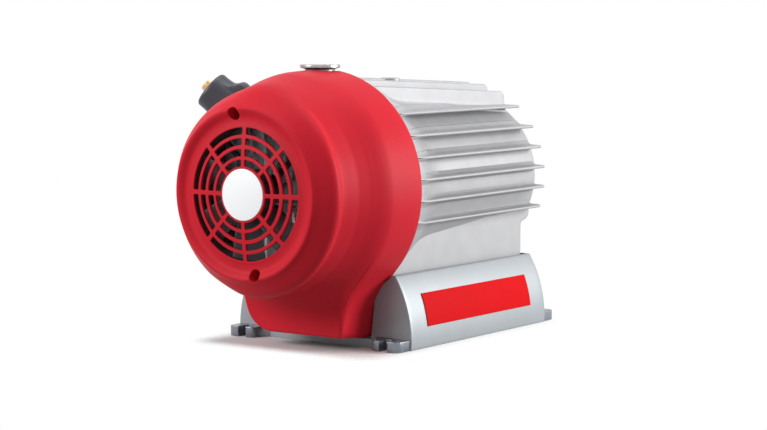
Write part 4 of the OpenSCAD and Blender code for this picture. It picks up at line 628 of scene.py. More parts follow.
def skirt_shell(s):
    """The hood's square skirt, found along rays. Each ray leaves a place inside the skirt and
    ends where smin(f, g) = 0: f is the distance outside the skirt's own face, g the distance
    outside the hood, and smin(f, g) = min(f, g) - k h h / 4 with h = max(1 - |f - g| / k, 0)
    rounds the valley between them."""
    blend = bpy.context.scene.pump_hood.skirt_blend / MM
    side_rows, inner_rows, start_r, start_d, farthest, foremost_d = 12, 3, 101.0, 100.0, 90.0, 8.0
    sunk_by, halvings = 0.16, 36
    path = skirt_path()
    tangent = np.gradient(path, axis=0)
    tangent /= np.linalg.norm(tangent, axis=1)[:, None]
    out = np.stack([tangent[:, 1], -tangent[:, 0]], 1)
    x, z = path.T
    edge = np.where(x > 0, 2.5 + 10.0 * smooth_step(14, 50, z), 2.0 + 1.5 * smooth_step(20, 45, z))
    core = path - out * edge[:, None]
    deep = np.where(z < SKIRT_LOW + 0.3, SKIRT_UNDER_D, HOOD_DEPTH)
    from_axis = core - [0, AXIS_Z]
    reach = np.linalg.norm(from_axis, axis=1)
    start = [0, AXIS_Z] + from_axis * (np.minimum(start_r, reach - 3.0) / reach)[:, None]

    def land(base, d0, side, ahead, near):
        """Points where rays meet the blended skin, and whether the skirt shows there rather than
        the hood; base and side are in X and Z."""
        lo = np.zeros(len(base))
        hi = np.minimum(farthest, (d0 - foremost_d) / np.maximum(ahead, 0.01)) + lo
        for _ in range(halvings):
            t = (lo + hi) / 2
            q = base + side * t[:, None] - [0, AXIS_Z]
            g = np.hypot(*q.T) - hood_r(d0 - ahead * t, np.arctan2(q[:, 1], q[:, 0]))
            f = t - near
            h = np.maximum(1 - np.abs(f - g) / blend, 0)
            sunk = np.where(g < f, sunk_by * (1 - smooth_step(0.0, 0.22, h)), 0)
            inside = np.minimum(f, g) - blend * h * h / 4 + sunk < 0
            lo, hi = np.where(inside, t, lo), np.where(inside, hi, t)
        q = base + side * lo[:, None]
        return np.stack([q[:, 0], FRONT_Y + d0 - ahead * lo, q[:, 1]], 1), (f < g) | (h > 0)

    n = len(path)
    edge_d = SKIRT_D + edge
    found = [land(start * (1 - k) + core * k, start_d, np.zeros((n, 2)), 1.0,
                  start_d - SKIRT_D)
             for k in np.linspace(0, 1, 22)[:-1]]
    found += [land(core, edge_d, out * np.sin(q), np.cos(q), edge) for q in arc(0, 90, 13)]
    found += [land(core, edge_d + (deep - edge_d) * k, out, 0.0, edge)
              for k in np.linspace(0, 1, side_rows + 1)[1:]]
    rows, shown = (list(each) for each in zip(*found))
    droop = 4.0 * (x > 0) * (1 - smooth_step(SKIRT_LOW, SKIRT_LOW + 30, z))
    for row in rows[-side_rows:]:
        row[:, 2] -= droop * smooth_step(80, 118, row[:, 1] - FRONT_Y)
    inner = rows[-1].copy()
    inner[:, [0, 2]] -= out * HOOD_WALL
    lead = inner.copy()
    lead[:, 1] = FRONT_Y + SKIRT_D + HOOD_WALL + 1.0
    back = np.stack([start[:, 0], np.full(n, FRONT_Y + SKIRT_D + HOOD_WALL), start[:, 1]], 1)
    shown = np.stack(shown[:-side_rows] + [np.ones(n, bool)] * (side_rows + inner_rows))
    keep = shown[:-1, :-1] | shown[1:, :-1] | shown[:-1, 1:] | shown[1:, 1:]
    s.grid(np.stack([*rows, inner, lead, back]), keep=keep)
    return s


# ---------------------------------------------------------------- housing

def housing_line():
    """The drum's outer line as radius and d, with its corners cut."""
    line = HOUSING_LINE * [DRUM_R, DRUM_BACK - DRUM_FRONT] + [0, DRUM_FRONT]
    return cut_corners(np.concatenate([line, [[REAR_R, DRUM_BACK]]]), 2)


def drum_r(d):
    """Outer radius of the drum at a distance."""
    line = housing_line()
    return np.interp(d, line[:, 1], line[:, 0])


def fin_tip_r(d):
    """Radius of the fins' tips: straight from under the hood to the rear, with a round corner at
    each end."""
    corner, front_corner = 7.0, 2.0
    r = np.interp(d, [HOOD_DEPTH, DRUM_BACK], [109.5, 98.5])
    back = np.clip(d - (DRUM_BACK - corner), 0, corner)
    front = np.clip(FIN_START + front_corner - d, 0, front_corner)
    return (r - (corner - np.sqrt(corner ** 2 - back ** 2))
            - (front_corner - np.sqrt(front_corner ** 2 - front ** 2)))


def fin(surface, offset, sign):
    """A fin between the drum and the tip line, over a grid of a share from root to tip and a
    distance along the drum. Its half thickness tapers, rounds off to nothing at every free edge
    like a quarter circle, and flares where it meets the drum. A sign of 0 stands it upright."""
    root_t, tip_t, flare, flare_out, sunk, rear_round = 4.8, 2.8, 4.2, 4.0, 4.0, 8.0
    round_d = DRUM_BACK - rear_round
    d = np.unique(np.concatenate([FIN_START + 2.0 * (1 - np.cos(np.linspace(0, np.pi / 2, 6))),
                                  np.linspace(FIN_START + 2.5, round_d, 58),
                                  round_d + rear_round * np.sin(np.linspace(0, np.pi / 2, 11))]))
    root = np.sqrt(np.maximum((drum_r(d) - sunk) ** 2 - offset ** 2, 4.0))
    tip = np.sqrt(np.maximum(fin_tip_r(d) ** 2 - offset ** 2, 9.0))
    u = 1 - (1 - np.linspace(0, 1, 18)[:, None]) ** 1.8
    reach = root * (1 - u) + tip * u
    thick = (root_t + (tip_t - root_t) * u ** 0.8) / 2
    to_end = np.minimum(DRUM_BACK - d, d - FIN_START)
    near = np.clip(np.minimum(tip - reach, to_end) / (thick[-1] * 1.15), 0, 1)
    height = thick * np.sqrt(1 - (1 - near) ** 2)
    y = FRONT_Y + d + 0 * reach
    for side in (-1, 1):
        clear = np.hypot(reach, offset + side * height) - drum_r(d)
        down = flare - np.clip(clear, 0, flare)
        more = (flare - np.sqrt(flare ** 2 - down ** 2)) * np.clip(to_end / flare_out, 0, 1)
        off = offset + side * (height + more)
        surface.grid(np.stack([sign * reach, y, AXIS_Z + off] if sign else
                              [off, y, AXIS_Z + reach], -1))


def port_block(surface, skin, keep, port_d, radius, half, ends, floor_r):
    """Cuts a port's block out of the drum's skin, fills it round the port's hole and carries the
    hole's wall down to a flat height."""
    first, last = (np.argmin(np.abs(skin[:, 1] - d)) for d in ends)
    cols = block_columns(TOP_DEG, half)
    keep[first:last, cols[0]:cols[1]] = False
    a0 = np.radians(TOP_DEG)

    def plane(rows, a):
        return np.stack([rows[:, 0] * np.sin(a), rows[:, 1] + 0 * a], -1)
    edge = block_edge(skin[first:last + 1],
                      round_angles(COLUMNS)[cols[0]:cols[1] + 1] - a0, plane)
    way = np.arctan2(edge[:, 1] - port_d, edge[:, 0])
    x, d = star_patch(edge, np.stack([radius * np.cos(way), port_d + radius * np.sin(way)], 1))
    r = np.interp(d, skin[:, 1], skin[:, 0])
    loops = polar(r, a0 + np.arcsin(x / r), d)
    surface.grid(loops, wrap_m=True)
    deep = loops[-1].copy()
    deep[:, 2] = AXIS_Z + floor_r
    surface.grid(np.stack([loops[-1], deep]), wrap_m=True)
    return deep


def housing_shell():
    """The drum: its line turned about the axis and closed through the bore; fins, bosses and the
    lower body stand on it."""
    s = Surface()
    line = housing_line()
    d = np.unique(np.round(np.concatenate([
        line[:, 1], np.r_[107:120:3, INLET_D, 126:139:3], np.r_[160:185:3],
        np.linspace(200, 390, 24)]), 3))
    skin = np.stack([np.interp(d, line[:, 1], line[:, 0]), d], 1)[:-1]
    rim_r, rim_d, wall_d, shaft_r, seat_d, bowl_r = BORE_R + 1.0, 319.0, 148.0, 19.0, 130.0, 89.6
    rear = soft_line([skin[-1], [REAR_R, DRUM_BACK], [rim_r, DRUM_BACK], [rim_r, rim_d]],
                     [0, 1.2, 0.5, 0], 3)
    bore = [[BORE_R, rim_d], [BORE_R, wall_d], [shaft_r, wall_d], [shaft_r, seat_d],
            [bowl_r, seat_d], [bowl_r, DRUM_FRONT]]
    rows = np.concatenate([skin, rear[1:], bore, skin[:1]])
    keep = np.ones((len(rows) - 1, COLUMNS), bool)
    port_block(s, skin, keep, INLET_D, 12.5, 10.5, (107.0, 138.0), 90.2)
    s.polygon(port_block(s, skin, keep, EXHAUST_D, 7.5, 7.5, (160.0, 184.0), 84.0))
    s.grid(polar(rows[:, :1], round_angles(COLUMNS), rows[:, 1:]), wrap_m=True, keep=keep)
    for i in range(6):
        for sign in (-1, 1):
            fin(s, FIN_LOW_Z - AXIS_Z + FIN_PITCH * i, sign)
    for i in range(-2, 3):
        fin(s, FIN_PITCH * i, 0)
    lower_body(s)
    for port_d, r, z, inner in ((INLET_D, 17.0, 264.5, 12.5), (EXHAUST_D, 16.0, 255.8, 7.5),
                                (PLUG_D, 10.7, 251.5, 4.0)):
        boss = soft_line([[inner, z - 20.0], [inner, z], [r, z], [r, z - 40.0]], [0, 0.4, 1.5, 0])
        s.grid(revolve(boss, 96, (0, FRONT_Y + port_d, 0)), wrap_m=True)
    boss = soft_line([[10.0, -7.0], [10.0, 0.0], [13.5, 0.0], [13.5, -14.0]], [0, 0.3, 1.2, 0])
    s.grid(revolve(boss, 96, *valve_seat()), wrap_m=True)
    return s


def body_end(z):
    """Where the lower body ends behind the disc at a height: under the drum it stops short, and
    a round corner carries it out to the drum's rear."""
    line = cut_corners(np.array([[60.0, 378.5], [100.0, 378.5], [106.0, 379.0], [108.0, 390.0],
                                 [113.0, DRUM_BACK], [140.0, DRUM_BACK]]), 2)
    return np.interp(z, line[:, 0], line[:, 1])


def lower_body(s):
    """The drum's foot: rows of height by stations along the drum, between two flat sides and the
    rear line of body_end, with a soft upright edge at the rear."""
    soft, start_d, middle_d, roof_z = 3.0, 134.0, 265.0, 100.0
    z = np.concatenate([np.linspace(DECK_Z, 98.0, 8), np.linspace(99.5, 116.0, 24),
                        np.linspace(119.0, 140.0, 6)])[:, None]
    turn, share = arc(0, 90, 7)[1:], np.linspace(0, 1, 42)
    end = body_end(z)
    d = np.concatenate([start_d + (end - soft - start_d) * share,
                        end - soft * (1 - np.sin(turn))], 1)
    x = FOOT_HALF - soft * np.concatenate([0 * share, 1 - np.cos(turn)]) + 0 * d
    both = np.stack([np.concatenate([x, -x[:, ::-1]], 1),
                     FRONT_Y + np.concatenate([d, d[:, ::-1]], 1),
                     z + np.zeros(2 * d.shape[1])], -1)
    s.grid(both)
    s.grid(both[:, [0, -1]])
    inner = both[:1].copy()
    inner[..., 0] *= 0.9
    inner[..., 1] = FRONT_Y + middle_d + (inner[..., 1] - FRONT_Y - middle_d) * 0.94
    roof = inner.copy()
    roof[..., 2] = roof_z
    s.grid(np.concatenate([both[:1], inner, roof]))
    s.grid(np.concatenate([both[-1:], both[-1:] * [0, 1, 1]]))


# ---------------------------------------------------------------- base

def base_line(step=0.0):
    """The base's right side in section: the round flank from the floor up, moved inward by step.
    It stops at the top edge, or at the deck's underside for an inner line."""
    r = FLANK_R - step
    top = BASE_TOP if step == 0 else UNDER_DECK_Z
    a = np.linspace(np.arcsin(-FLANK_Z / r), np.arcsin((top - FLANK_Z) / r), 26)
    return np.stack([FLANK_X + r * np.cos(a), FLANK_Z + r * np.sin(a)], 1)


def base_inner_x(z):
    """Where the base's front face ends toward the middle: clear of the skirt and of the hood."""
    clear = 2.0
    hood = np.sqrt(np.maximum((HOOD_R + clear) ** 2 - (AXIS_Z - z) ** 2, 0))
    return np.maximum(skirt_half(z, clear), hood)


def base_shell():
    """The base: its section is carried from the front face to the rear face with soft upright
    edges; the deck, the recess behind the skirt and the hollows below are added."""
    s = Surface()
    soft = bpy.context.scene.pump_base.edge / MM
    lip_x, rail_d, rail_w, rail_h = 83.5, 122.8, 11.2, 9.0
    flank = base_line()
    lip = soft_line([flank[-2], [TOP_X, BASE_TOP], [lip_x, BASE_TOP], [lip_x, DECK_Z],
                     [0.0, DECK_Z]], [0, 1.6, 0.8, 0.6, 0])
    foot = soft_line([[base_line(BASE_WALL)[0, 0], 0.0], [flank[0, 0], 0.0], flank[1]],
                     [0, 1.0, 0], 3)
    x, z = np.concatenate([foot[:-1], flank[1:-1], lip[1:]]).T[:, :, None]
    x_in = np.minimum(base_inner_x(z), x)
    turn = arc(0, 90, 6)
    rise, fall = soft * (1 - np.sin(turn)), soft * (1 - np.cos(turn))
    along = np.concatenate([np.linspace(128.0, 140.0, 4),
                            np.linspace(150.0, BASE_END - soft, 40)])[1:]
    stations = [(x_in, RECESS_D), (x_in, BASE_START + 0.6), (x_in, BASE_START),
                (np.maximum(x_in + (x - soft - x_in) * 0.5, x_in), BASE_START),
                (x - np.minimum(rise, np.maximum(x - x_in, 0)), BASE_START + fall),
                (x, along), (x - fall[1:], BASE_END - rise[1:]), (0 * x, BASE_END)]
    grids = [np.broadcast_arrays(half, d + 0 * x) for half, d in stations]
    gx, gd = (np.concatenate(each, 1) for each in zip(*grids))
    gx = np.maximum(gx, 0)
    on_deck = (z < DECK_Z + 0.5) & (x < lip_x + 0.5) & (z > 60)
    gd = np.where(on_deck & (gd < RECESS_D + 0.5) & (gx < lip_x - 3.0), RECESS_D, gd)
    for sign in (1, -1):
        s.grid(np.stack([sign * gx, FRONT_Y + gd, z + 0 * gx], -1))

    def across(half, d, height):
        """A strip from the left to the right: half its width, d and height along it."""
        half, y, height = np.broadcast_arrays(half, FRONT_Y + d, height)
        s.grid(np.stack([np.stack([side * half, y, height], 1) for side in (-1, 1)], 1))
    recess_z = np.linspace(0.0, DECK_Z, 24)
    across(base_inner_x(recess_z), RECESS_D, recess_z)
    for line in (soft_line([[0, 0], [0, rail_h], [rail_w + 0.8, rail_h]], [0, 1.0, 0]),
                 np.array([[0, 0], [rail_w, 0]])):
        across(LUG_X, rail_d + line[:, 0], line[:, 1])
    hollows(s)
    return s


def even(p, count):
    """Points at even distances along a line."""
    run = np.concatenate([[0], np.cumsum(np.linalg.norm(np.diff(p, axis=0), axis=1))])
    t = np.linspace(0, run[-1], count)
    return np.stack([np.interp(t, run, p[:, 0]), np.interp(t, run, p[:, 1])], 1)


def lug(s, sx, sy):
    """One foot: rows run from the outline of its plan, up the side, over the soft top edge, to
    the outline of the open slot, and down the slot's side. A hollow corner joins it to the wall
    behind: a quarter circle in plan, carried up the same soft edge."""
    nose, face, reach = (10.3, 6.8, 17.0) if sy < 0 else (6.0, 16.0, 21.0)
    slot_r, half, back, corner, edge, slot_edge_r, mid_h = 4.75, 18.0, -14.0, 9.0, 0.9, 0.5, 5.0
    out = even(soft_line([[slot_r, -nose], [half, -nose], [half, reach], [back, reach],
                          [back, -nose], [-slot_r, -nose]], [0, corner, 1.0, 1.0, 4.0, 0], 10), 81)
    a = np.linspace(0, np.pi, 17)
    side = np.array([[slot_r, -nose], [slot_r, -nose * 0.7], [slot_r, -nose * 0.35]])
    slot = even(np.concatenate([side, slot_r * np.stack([np.cos(a), np.sin(a)], 1),
                                side[::-1] * [-1, 1]]), 81)
    width = np.maximum(np.linalg.norm(slot - out, axis=1), 1e-6)[:, None]
    unit = (slot - out) / width
    soft, slot_soft = np.minimum(edge, width * 0.3), np.minimum(slot_edge_r, width * 0.3)
    rows = [(out + unit * soft * 0.4, 0.0), (out, 0.5), (out, mid_h)]
    rows += [(out + unit * soft * (1 - np.cos(q)), LUG_H - edge * (1 - np.sin(q)))
             for q in arc(0, 90, 5)]
    rows.append(((out + slot) / 2, LUG_H))
    rows += [(slot - unit * slot_soft * (1 - np.cos(q)), LUG_H - slot_edge_r * (1 - np.sin(q)))
             for q in arc(90, 0, 4)]
    rows += [(slot, mid_h), (slot, 0.0)]

    def stand(rows):
        return np.stack([np.stack([sx * (LUG_X + q[:, 0]), sy * (LUG_Y - q[:, 1]),
                                   np.full(len(q), h)], 1) for q, h in rows])
    s.grid(stand(rows), wrap_n=True)
    turn = arc(0, 90, 13)
    centre = np.array([back - corner, face - corner])
    bow = corner * np.stack([np.cos(turn), np.sin(turn)], 1)
    tip = np.repeat([[back + 1.0, face + 1.0]], len(turn), 0)
    rows = [(centre + bow, 0.0), (centre + bow, mid_h)]
    rows += [(centre + bow * (1 + 0.1 * (1 - np.cos(q))), LUG_H - edge * (1 - np.sin(q)))
             for q in arc(0, 90, 5)]
    rows += [(tip, LUG_H), (tip, 0.0)]
    s.grid(stand(rows), wrap_n=True)


def lugs_shell():
    """The four feet, in their own finish because they are machined on every side."""
    s = Surface()
    for sx in (1, -1):
        for sy in (1, -1):
            lug(s, sx, sy)
    return s


def hollows(s):
    """Four pockets under the base: a wall up from the floor, a soft corner, and the deck's
    underside; the strips between them lie on the floor."""
    half_rib, rib, first, end = 3.0, (252.0, 258.0), RECESS_D + BASE_WALL, BASE_END - BASE_WALL
    inner = base_line(BASE_WALL)
    x_floor = inner[0, 0]
    inner = inner[inner[:, 1] < UNDER_DECK_Z - 0.1]
    inner = np.concatenate([inner, [[inner[-1, 0] - 1.0, UNDER_DECK_Z]]])
    for sx in (1, -1):
        for lo, hi in ((first, rib[0]), (rib[1], end)):
            rows = np.array([[[sx * x0, FRONT_Y + d, z] for x0, d in (
                (half_rib, lo), (x, lo), (x, hi), (half_rib, hi))] for x, z in inner])
            s.grid(rows, wrap_m=True)
            s.polygon(rows[-1])
    for x, d0, d1 in ((x_floor, RECESS_D, first), (x_floor, end, BASE_END), (x_floor, *rib),
                      (half_rib, first, rib[0]), (half_rib, rib[1], end)):
        s.polygon([[-x, FRONT_Y + d0, 0], [x, FRONT_Y + d0, 0], [x, FRONT_Y + d1, 0],
                   [-x, FRONT_Y + d1, 0]])


def plate_shell():
    """The bare plate on the flank: angle round the flank by distance along it, its edges rounded
    down to the flank."""
    s = Surface()
    under, length, start_d, low_z, high_z, thick = FLANK_R + 0.15, 193.5, 155.2, 20.9, 52.8, 0.8
    soft = np.array([0.0, 0.0, 0.12, 0.35, 0.7])
    drop = np.array([thick, 0.3, 0.1, 0.02, 0.0])
    lo, hi = (np.arcsin((z - FLANK_Z) / under) for z in (low_z, high_z))

    def stations(size, count):
        """Places along a side, and how far the plate's face is down there."""
        at = np.concatenate([soft, np.linspace(1.5, size - 1.5, count), size - soft[::-1]])
        return at, np.concatenate([drop, np.zeros(count), drop[::-1]])
    (run, run_drop), (up, up_drop) = stations(length, 30), stations((hi - lo) * under, 16)
    h = thick - np.maximum(run_drop, up_drop[:, None])
    a = lo + up[:, None] / under + 0 * h
    for r in (under + h, under + 0 * h):
        s.grid(np.stack([FLANK_X + r * np.cos(a), FRONT_Y + start_d + run + 0 * h,
                         FLANK_Z + r * np.sin(a)], -1))
    return s


# ---------------------------------------------------------------- fittings

def valve_seat():
    """The ballast valve's seat and its three axes: the third points outward, tilted up."""
    up, turn, at = np.radians([50.5, 205.0, 143.2])
    reach, seat_d = 104.0, 115.0
    ry = np.array([[np.cos(up), 0, np.sin(up)], [0, 1, 0], [-np.sin(up), 0, np.cos(up)]])
    rz = np.array([[np.cos(turn), -np.sin(turn), 0], [np.sin(turn), np.cos(turn), 0], [0, 0, 1]])
    return polar(reach, at, seat_d), (rz @ ry).T


def knob_shell():
    """The two-winged knob: radius as a function of height and angle. A round barrel and a
    rounded bar across it are joined by a smooth maximum, and both ends are rounded in."""
    barrel, round_r, bar_half, join, waist, bore = 19.6, 3.2, 13.0, 3.0, 40.0, 6.1
    q = arc(0, 90, 8)
    lift = np.concatenate([KNOB_START + round_r * (1 - np.cos(q)),
                           np.linspace(KNOB_START + 3.4, KNOB_END - 3.4, 56),
                           KNOB_END - round_r * (1 - np.sin(q))])[:, None]
    end = np.clip(round_r - np.minimum(lift - KNOB_START, KNOB_END - lift), 0, round_r)
    b = barrel - round_r + np.sqrt(round_r ** 2 - end ** 2)
    bar = cut_corners(np.array([
        [KNOB_START, 6.0], [20.0, 26.0], [23.0, 28.5], [30.0, 28.5], [33.0, 24.0], [37.0, 19.8],
        [44.0, 18.4], [54.0, 15.0]]), 3)
    reach = np.interp(lift, bar[:, 0], bar[:, 1])
    a = round_angles(160)
    w = (np.abs(np.cos(a) / reach) ** 7 + np.abs(np.sin(a) / bar_half) ** 7) ** (-1 / 7)
    w = np.minimum(w, reach)
    r = 0.5 * (w + b + np.sqrt((w - b) ** 2 + join * join * 0.35)) - 0.25
    fade = np.clip((lift - waist) / 6.0, 0, 1)
    r = r * (1 - fade) + b * fade
    fade = np.clip(lift - KNOB_START, 0, 1)
    r = r * fade + np.minimum(r, b + 6.0) * (1 - fade)
    floor = turned(np.full((2, 1), bore), a, [[KNOB_START + 12.0], [KNOB_START]])
    top_r = np.array([[9.0], [8.4], [6.05], [6.05]])
    top = turned(top_r, a, KNOB_END - np.array([[0.0], [0.9], [0.9], [4.0]]))
    return Surface().grid(place(np.concatenate([floor, turned(r, a, lift), top]), *valve_seat()),
                          wrap_m=True)


def hexagon(flat_r, angle):
    """Radius of a hexagon at an angle, from half its width over the flats."""
    return flat_r / np.cos((angle + np.pi / 6) % (np.pi / 3) - np.pi / 6)


def fitting_shell():
    """The brass filter fitting: a hexagon with chamfered corners, a waist, and a barrel with
    fine knurls, all as radius over height and angle. The rows give height, radius and depth of
    the knurls, and those of the hexagon are cut by its flats."""
    flat_r, flats, knurls = 6.06, slice(3, 7), 36
    a = round_angles(144)
    rows = np.array([
        (-4.0, 0.0, 0), (-4.0, 5.9, 0), (0.0, 5.9, 0), (0.0, 6.3, 0), (0.35, 7.0, 0),
        (2.7, 7.0, 0), (3.05, 6.3, 0), (3.05, 4.6, 0), (3.5, 4.6, 0), (3.5, 5.2, 0.02),
        (3.7, 5.5, 0.03), (6.1, 5.5, 0.03), (6.5, 5.0, 0.01), (6.5, 2.2, 0), (6.0, 1.8, 0),
        (6.0, 0.0, 0)])
    h, r, knurl = rows.T[:, :, None]
    r = r * (1 + knurl * np.cos(a * knurls))
    r[flats] = np.minimum(r[flats], hexagon(flat_r, a))
    return Surface().grid(place(turned(r, a, KNOB_END + h), *valve_seat()), wrap_m=True)


def flange_shell(d, top, flange, rim, neck, bore, length):
    """A small clamp flange: its section, with soft edges and a stepped bore, turned about the
    port's axis. Its back slopes at 15 degrees."""
    back = -rim - (flange - neck) * 0.268
    line = soft_line([[bore, -length], [bore, -2.6], [bore + 0.6, -2.4], [bore + 0.6, 0],
                      [flange, 0], [flange, -rim], [neck, back], [neck, -length],
                      [bore, -length]], [0, 0, 0, 0.5, 0.45, 0.4, 1.0, 0.2, 0])
    return Surface().grid(revolve(line, 128, (0, FRONT_Y + d, top)), wrap_m=True)


def plug_shell():
    """The plug of the lifting eye's hole: a low cap with a soft edge, a shallow hexagon socket
    and a threaded shank below."""
    cap_r, cap_h, shank, top_z, socket = 9.7, 9.7, 4.0, 261.2, 4.0
    line = soft_line([[shank, -18.4], [shank, -cap_h], [cap_r, -cap_h], [cap_r, 0.0], [6.5, 0.0]],
                     [0, 0, 0.3, 0.9, 0])
    a = round_angles(96)
    loops = [(0.0, line[0, 1]), *line, (hexagon(socket, a) + 0.4, 0.0),
             (hexagon(socket, a), -0.4), (hexagon(socket, a), -4.0), (0.0, -4.5)]
    return Surface().grid(place(np.stack([turned(r, a, h) for r, h in loops]),
                                (0, FRONT_Y + PLUG_D, top_z)), wrap_m=True)


def disc_shell():
    """The bare disc on the hub: flat, with a soft edge."""
    r, thick = 24.6, 1.6
    line = soft_line([[0, thick], [r, thick], [r, 0.0], [0, 0.0]], [0, 0.2, 0.5, 0])
    return Surface().grid(polar(line[:, :1], round_angles(COLUMNS), line[:, 1:]), wrap_m=True)


def rotor_shell():
    """The fan: a domed hub, and seven blades. Each blade's chord and pitch change from root to
    tip, and its thickness follows a rounded section."""
    s = Surface()
    blades, hub_r, depth, root_r, span_r, camber, sweep = 7, 23.0, 13.8, 22.0, 42.2, 0.06, 0.12
    front_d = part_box("fan_rotor")[0].y / MM - FRONT_Y
    line = soft_line([[0, depth], [hub_r, depth], [hub_r, 0.0], [0, 0.0]], [0, 0.5, 3.0, 0], 5)
    s.grid(polar(line[:, :1], round_angles(96), front_d + line[:, 1:]), wrap_m=True)
    span, ring = np.linspace(0, 1, 14)[:, None], round_angles(24)
    r = root_r + span * span_r
    half_chord = (22.0 + 12.0 * span) / 2
    pitch = np.radians(42.0 - 16.0 * span)
    thick = 1.5 - 0.5 * span
    u = np.cos(ring) * half_chord
    v = np.sin(ring) * thick / 2 + camber * half_chord * np.sin(ring) ** 2
    along = u * np.cos(pitch) - v * np.sin(pitch)
    down = np.clip(u * np.sin(pitch) + v * np.cos(pitch) + 7.0, 0.2, 14.6)
    for k in range(blades):
        p = polar(r, 2 * np.pi * k / blades + sweep * span + along / r, front_d + down)
        s.grid(p, wrap_m=True).polygon(p[0]).polygon(p[-1])
    return s


# ---------------------------------------------------------------- settings

def colour(name, description, screen):
    """A colour property whose default is given as seen on screen."""
    return FloatVectorProperty(name=name, description=description, subtype="COLOR", size=3,
                               min=0.0, max=1.0, default=srgb(*screen)[:3])


def length(name, description, default):
    return FloatProperty(name=name, description=description, default=default, unit="LENGTH")


def power(name, description, default):
    return FloatProperty(name=name, description=description, default=default, unit="POWER")


class HoodSettings(PropertyGroup):
    """Sizes and colour of the hood"""
    paint: colour("Paint", "Colour of the hood's paint", (196, 31, 45))
    access_radius: length("Screw well radius", "Radius of the two screw wells in the lip", 0.0062)
    skirt_blend: length("Skirt blend", "Width of the soft valley between skirt and hood", 0.022)


class HousingSettings(PropertyGroup):
    """Colour of the housing"""
    metal: colour("Metal", "Colour of the cast metal", (161, 161, 163))


class BaseSettings(PropertyGroup):
    """Edge and colours of the base and its plate"""
    metal: colour("Metal", "Colour of the base", (144, 149, 152))
    edge: length("Edge", "Radius of the soft upright edges at the ends", 0.0014)
    plate: colour("Plate", "Colour of the bare plate", (196, 8, 15))


class StageSettings(PropertyGroup):
    """Camera and lights"""
    lens: FloatProperty(name="Lens", default=96.48, description="Focal length of the camera, mm")
    key: power("Key light", "Power of the light behind the right side", 30.0)
    fill: power("Fill light", "Power of the light from the front left", 25.0)
    top: power("Top light", "Power of the light from above", 15.0)
    ambient: FloatProperty(name="Ambient", default=0.36, description="Strength of the room's light")


# ---------------------------------------------------------------- operators

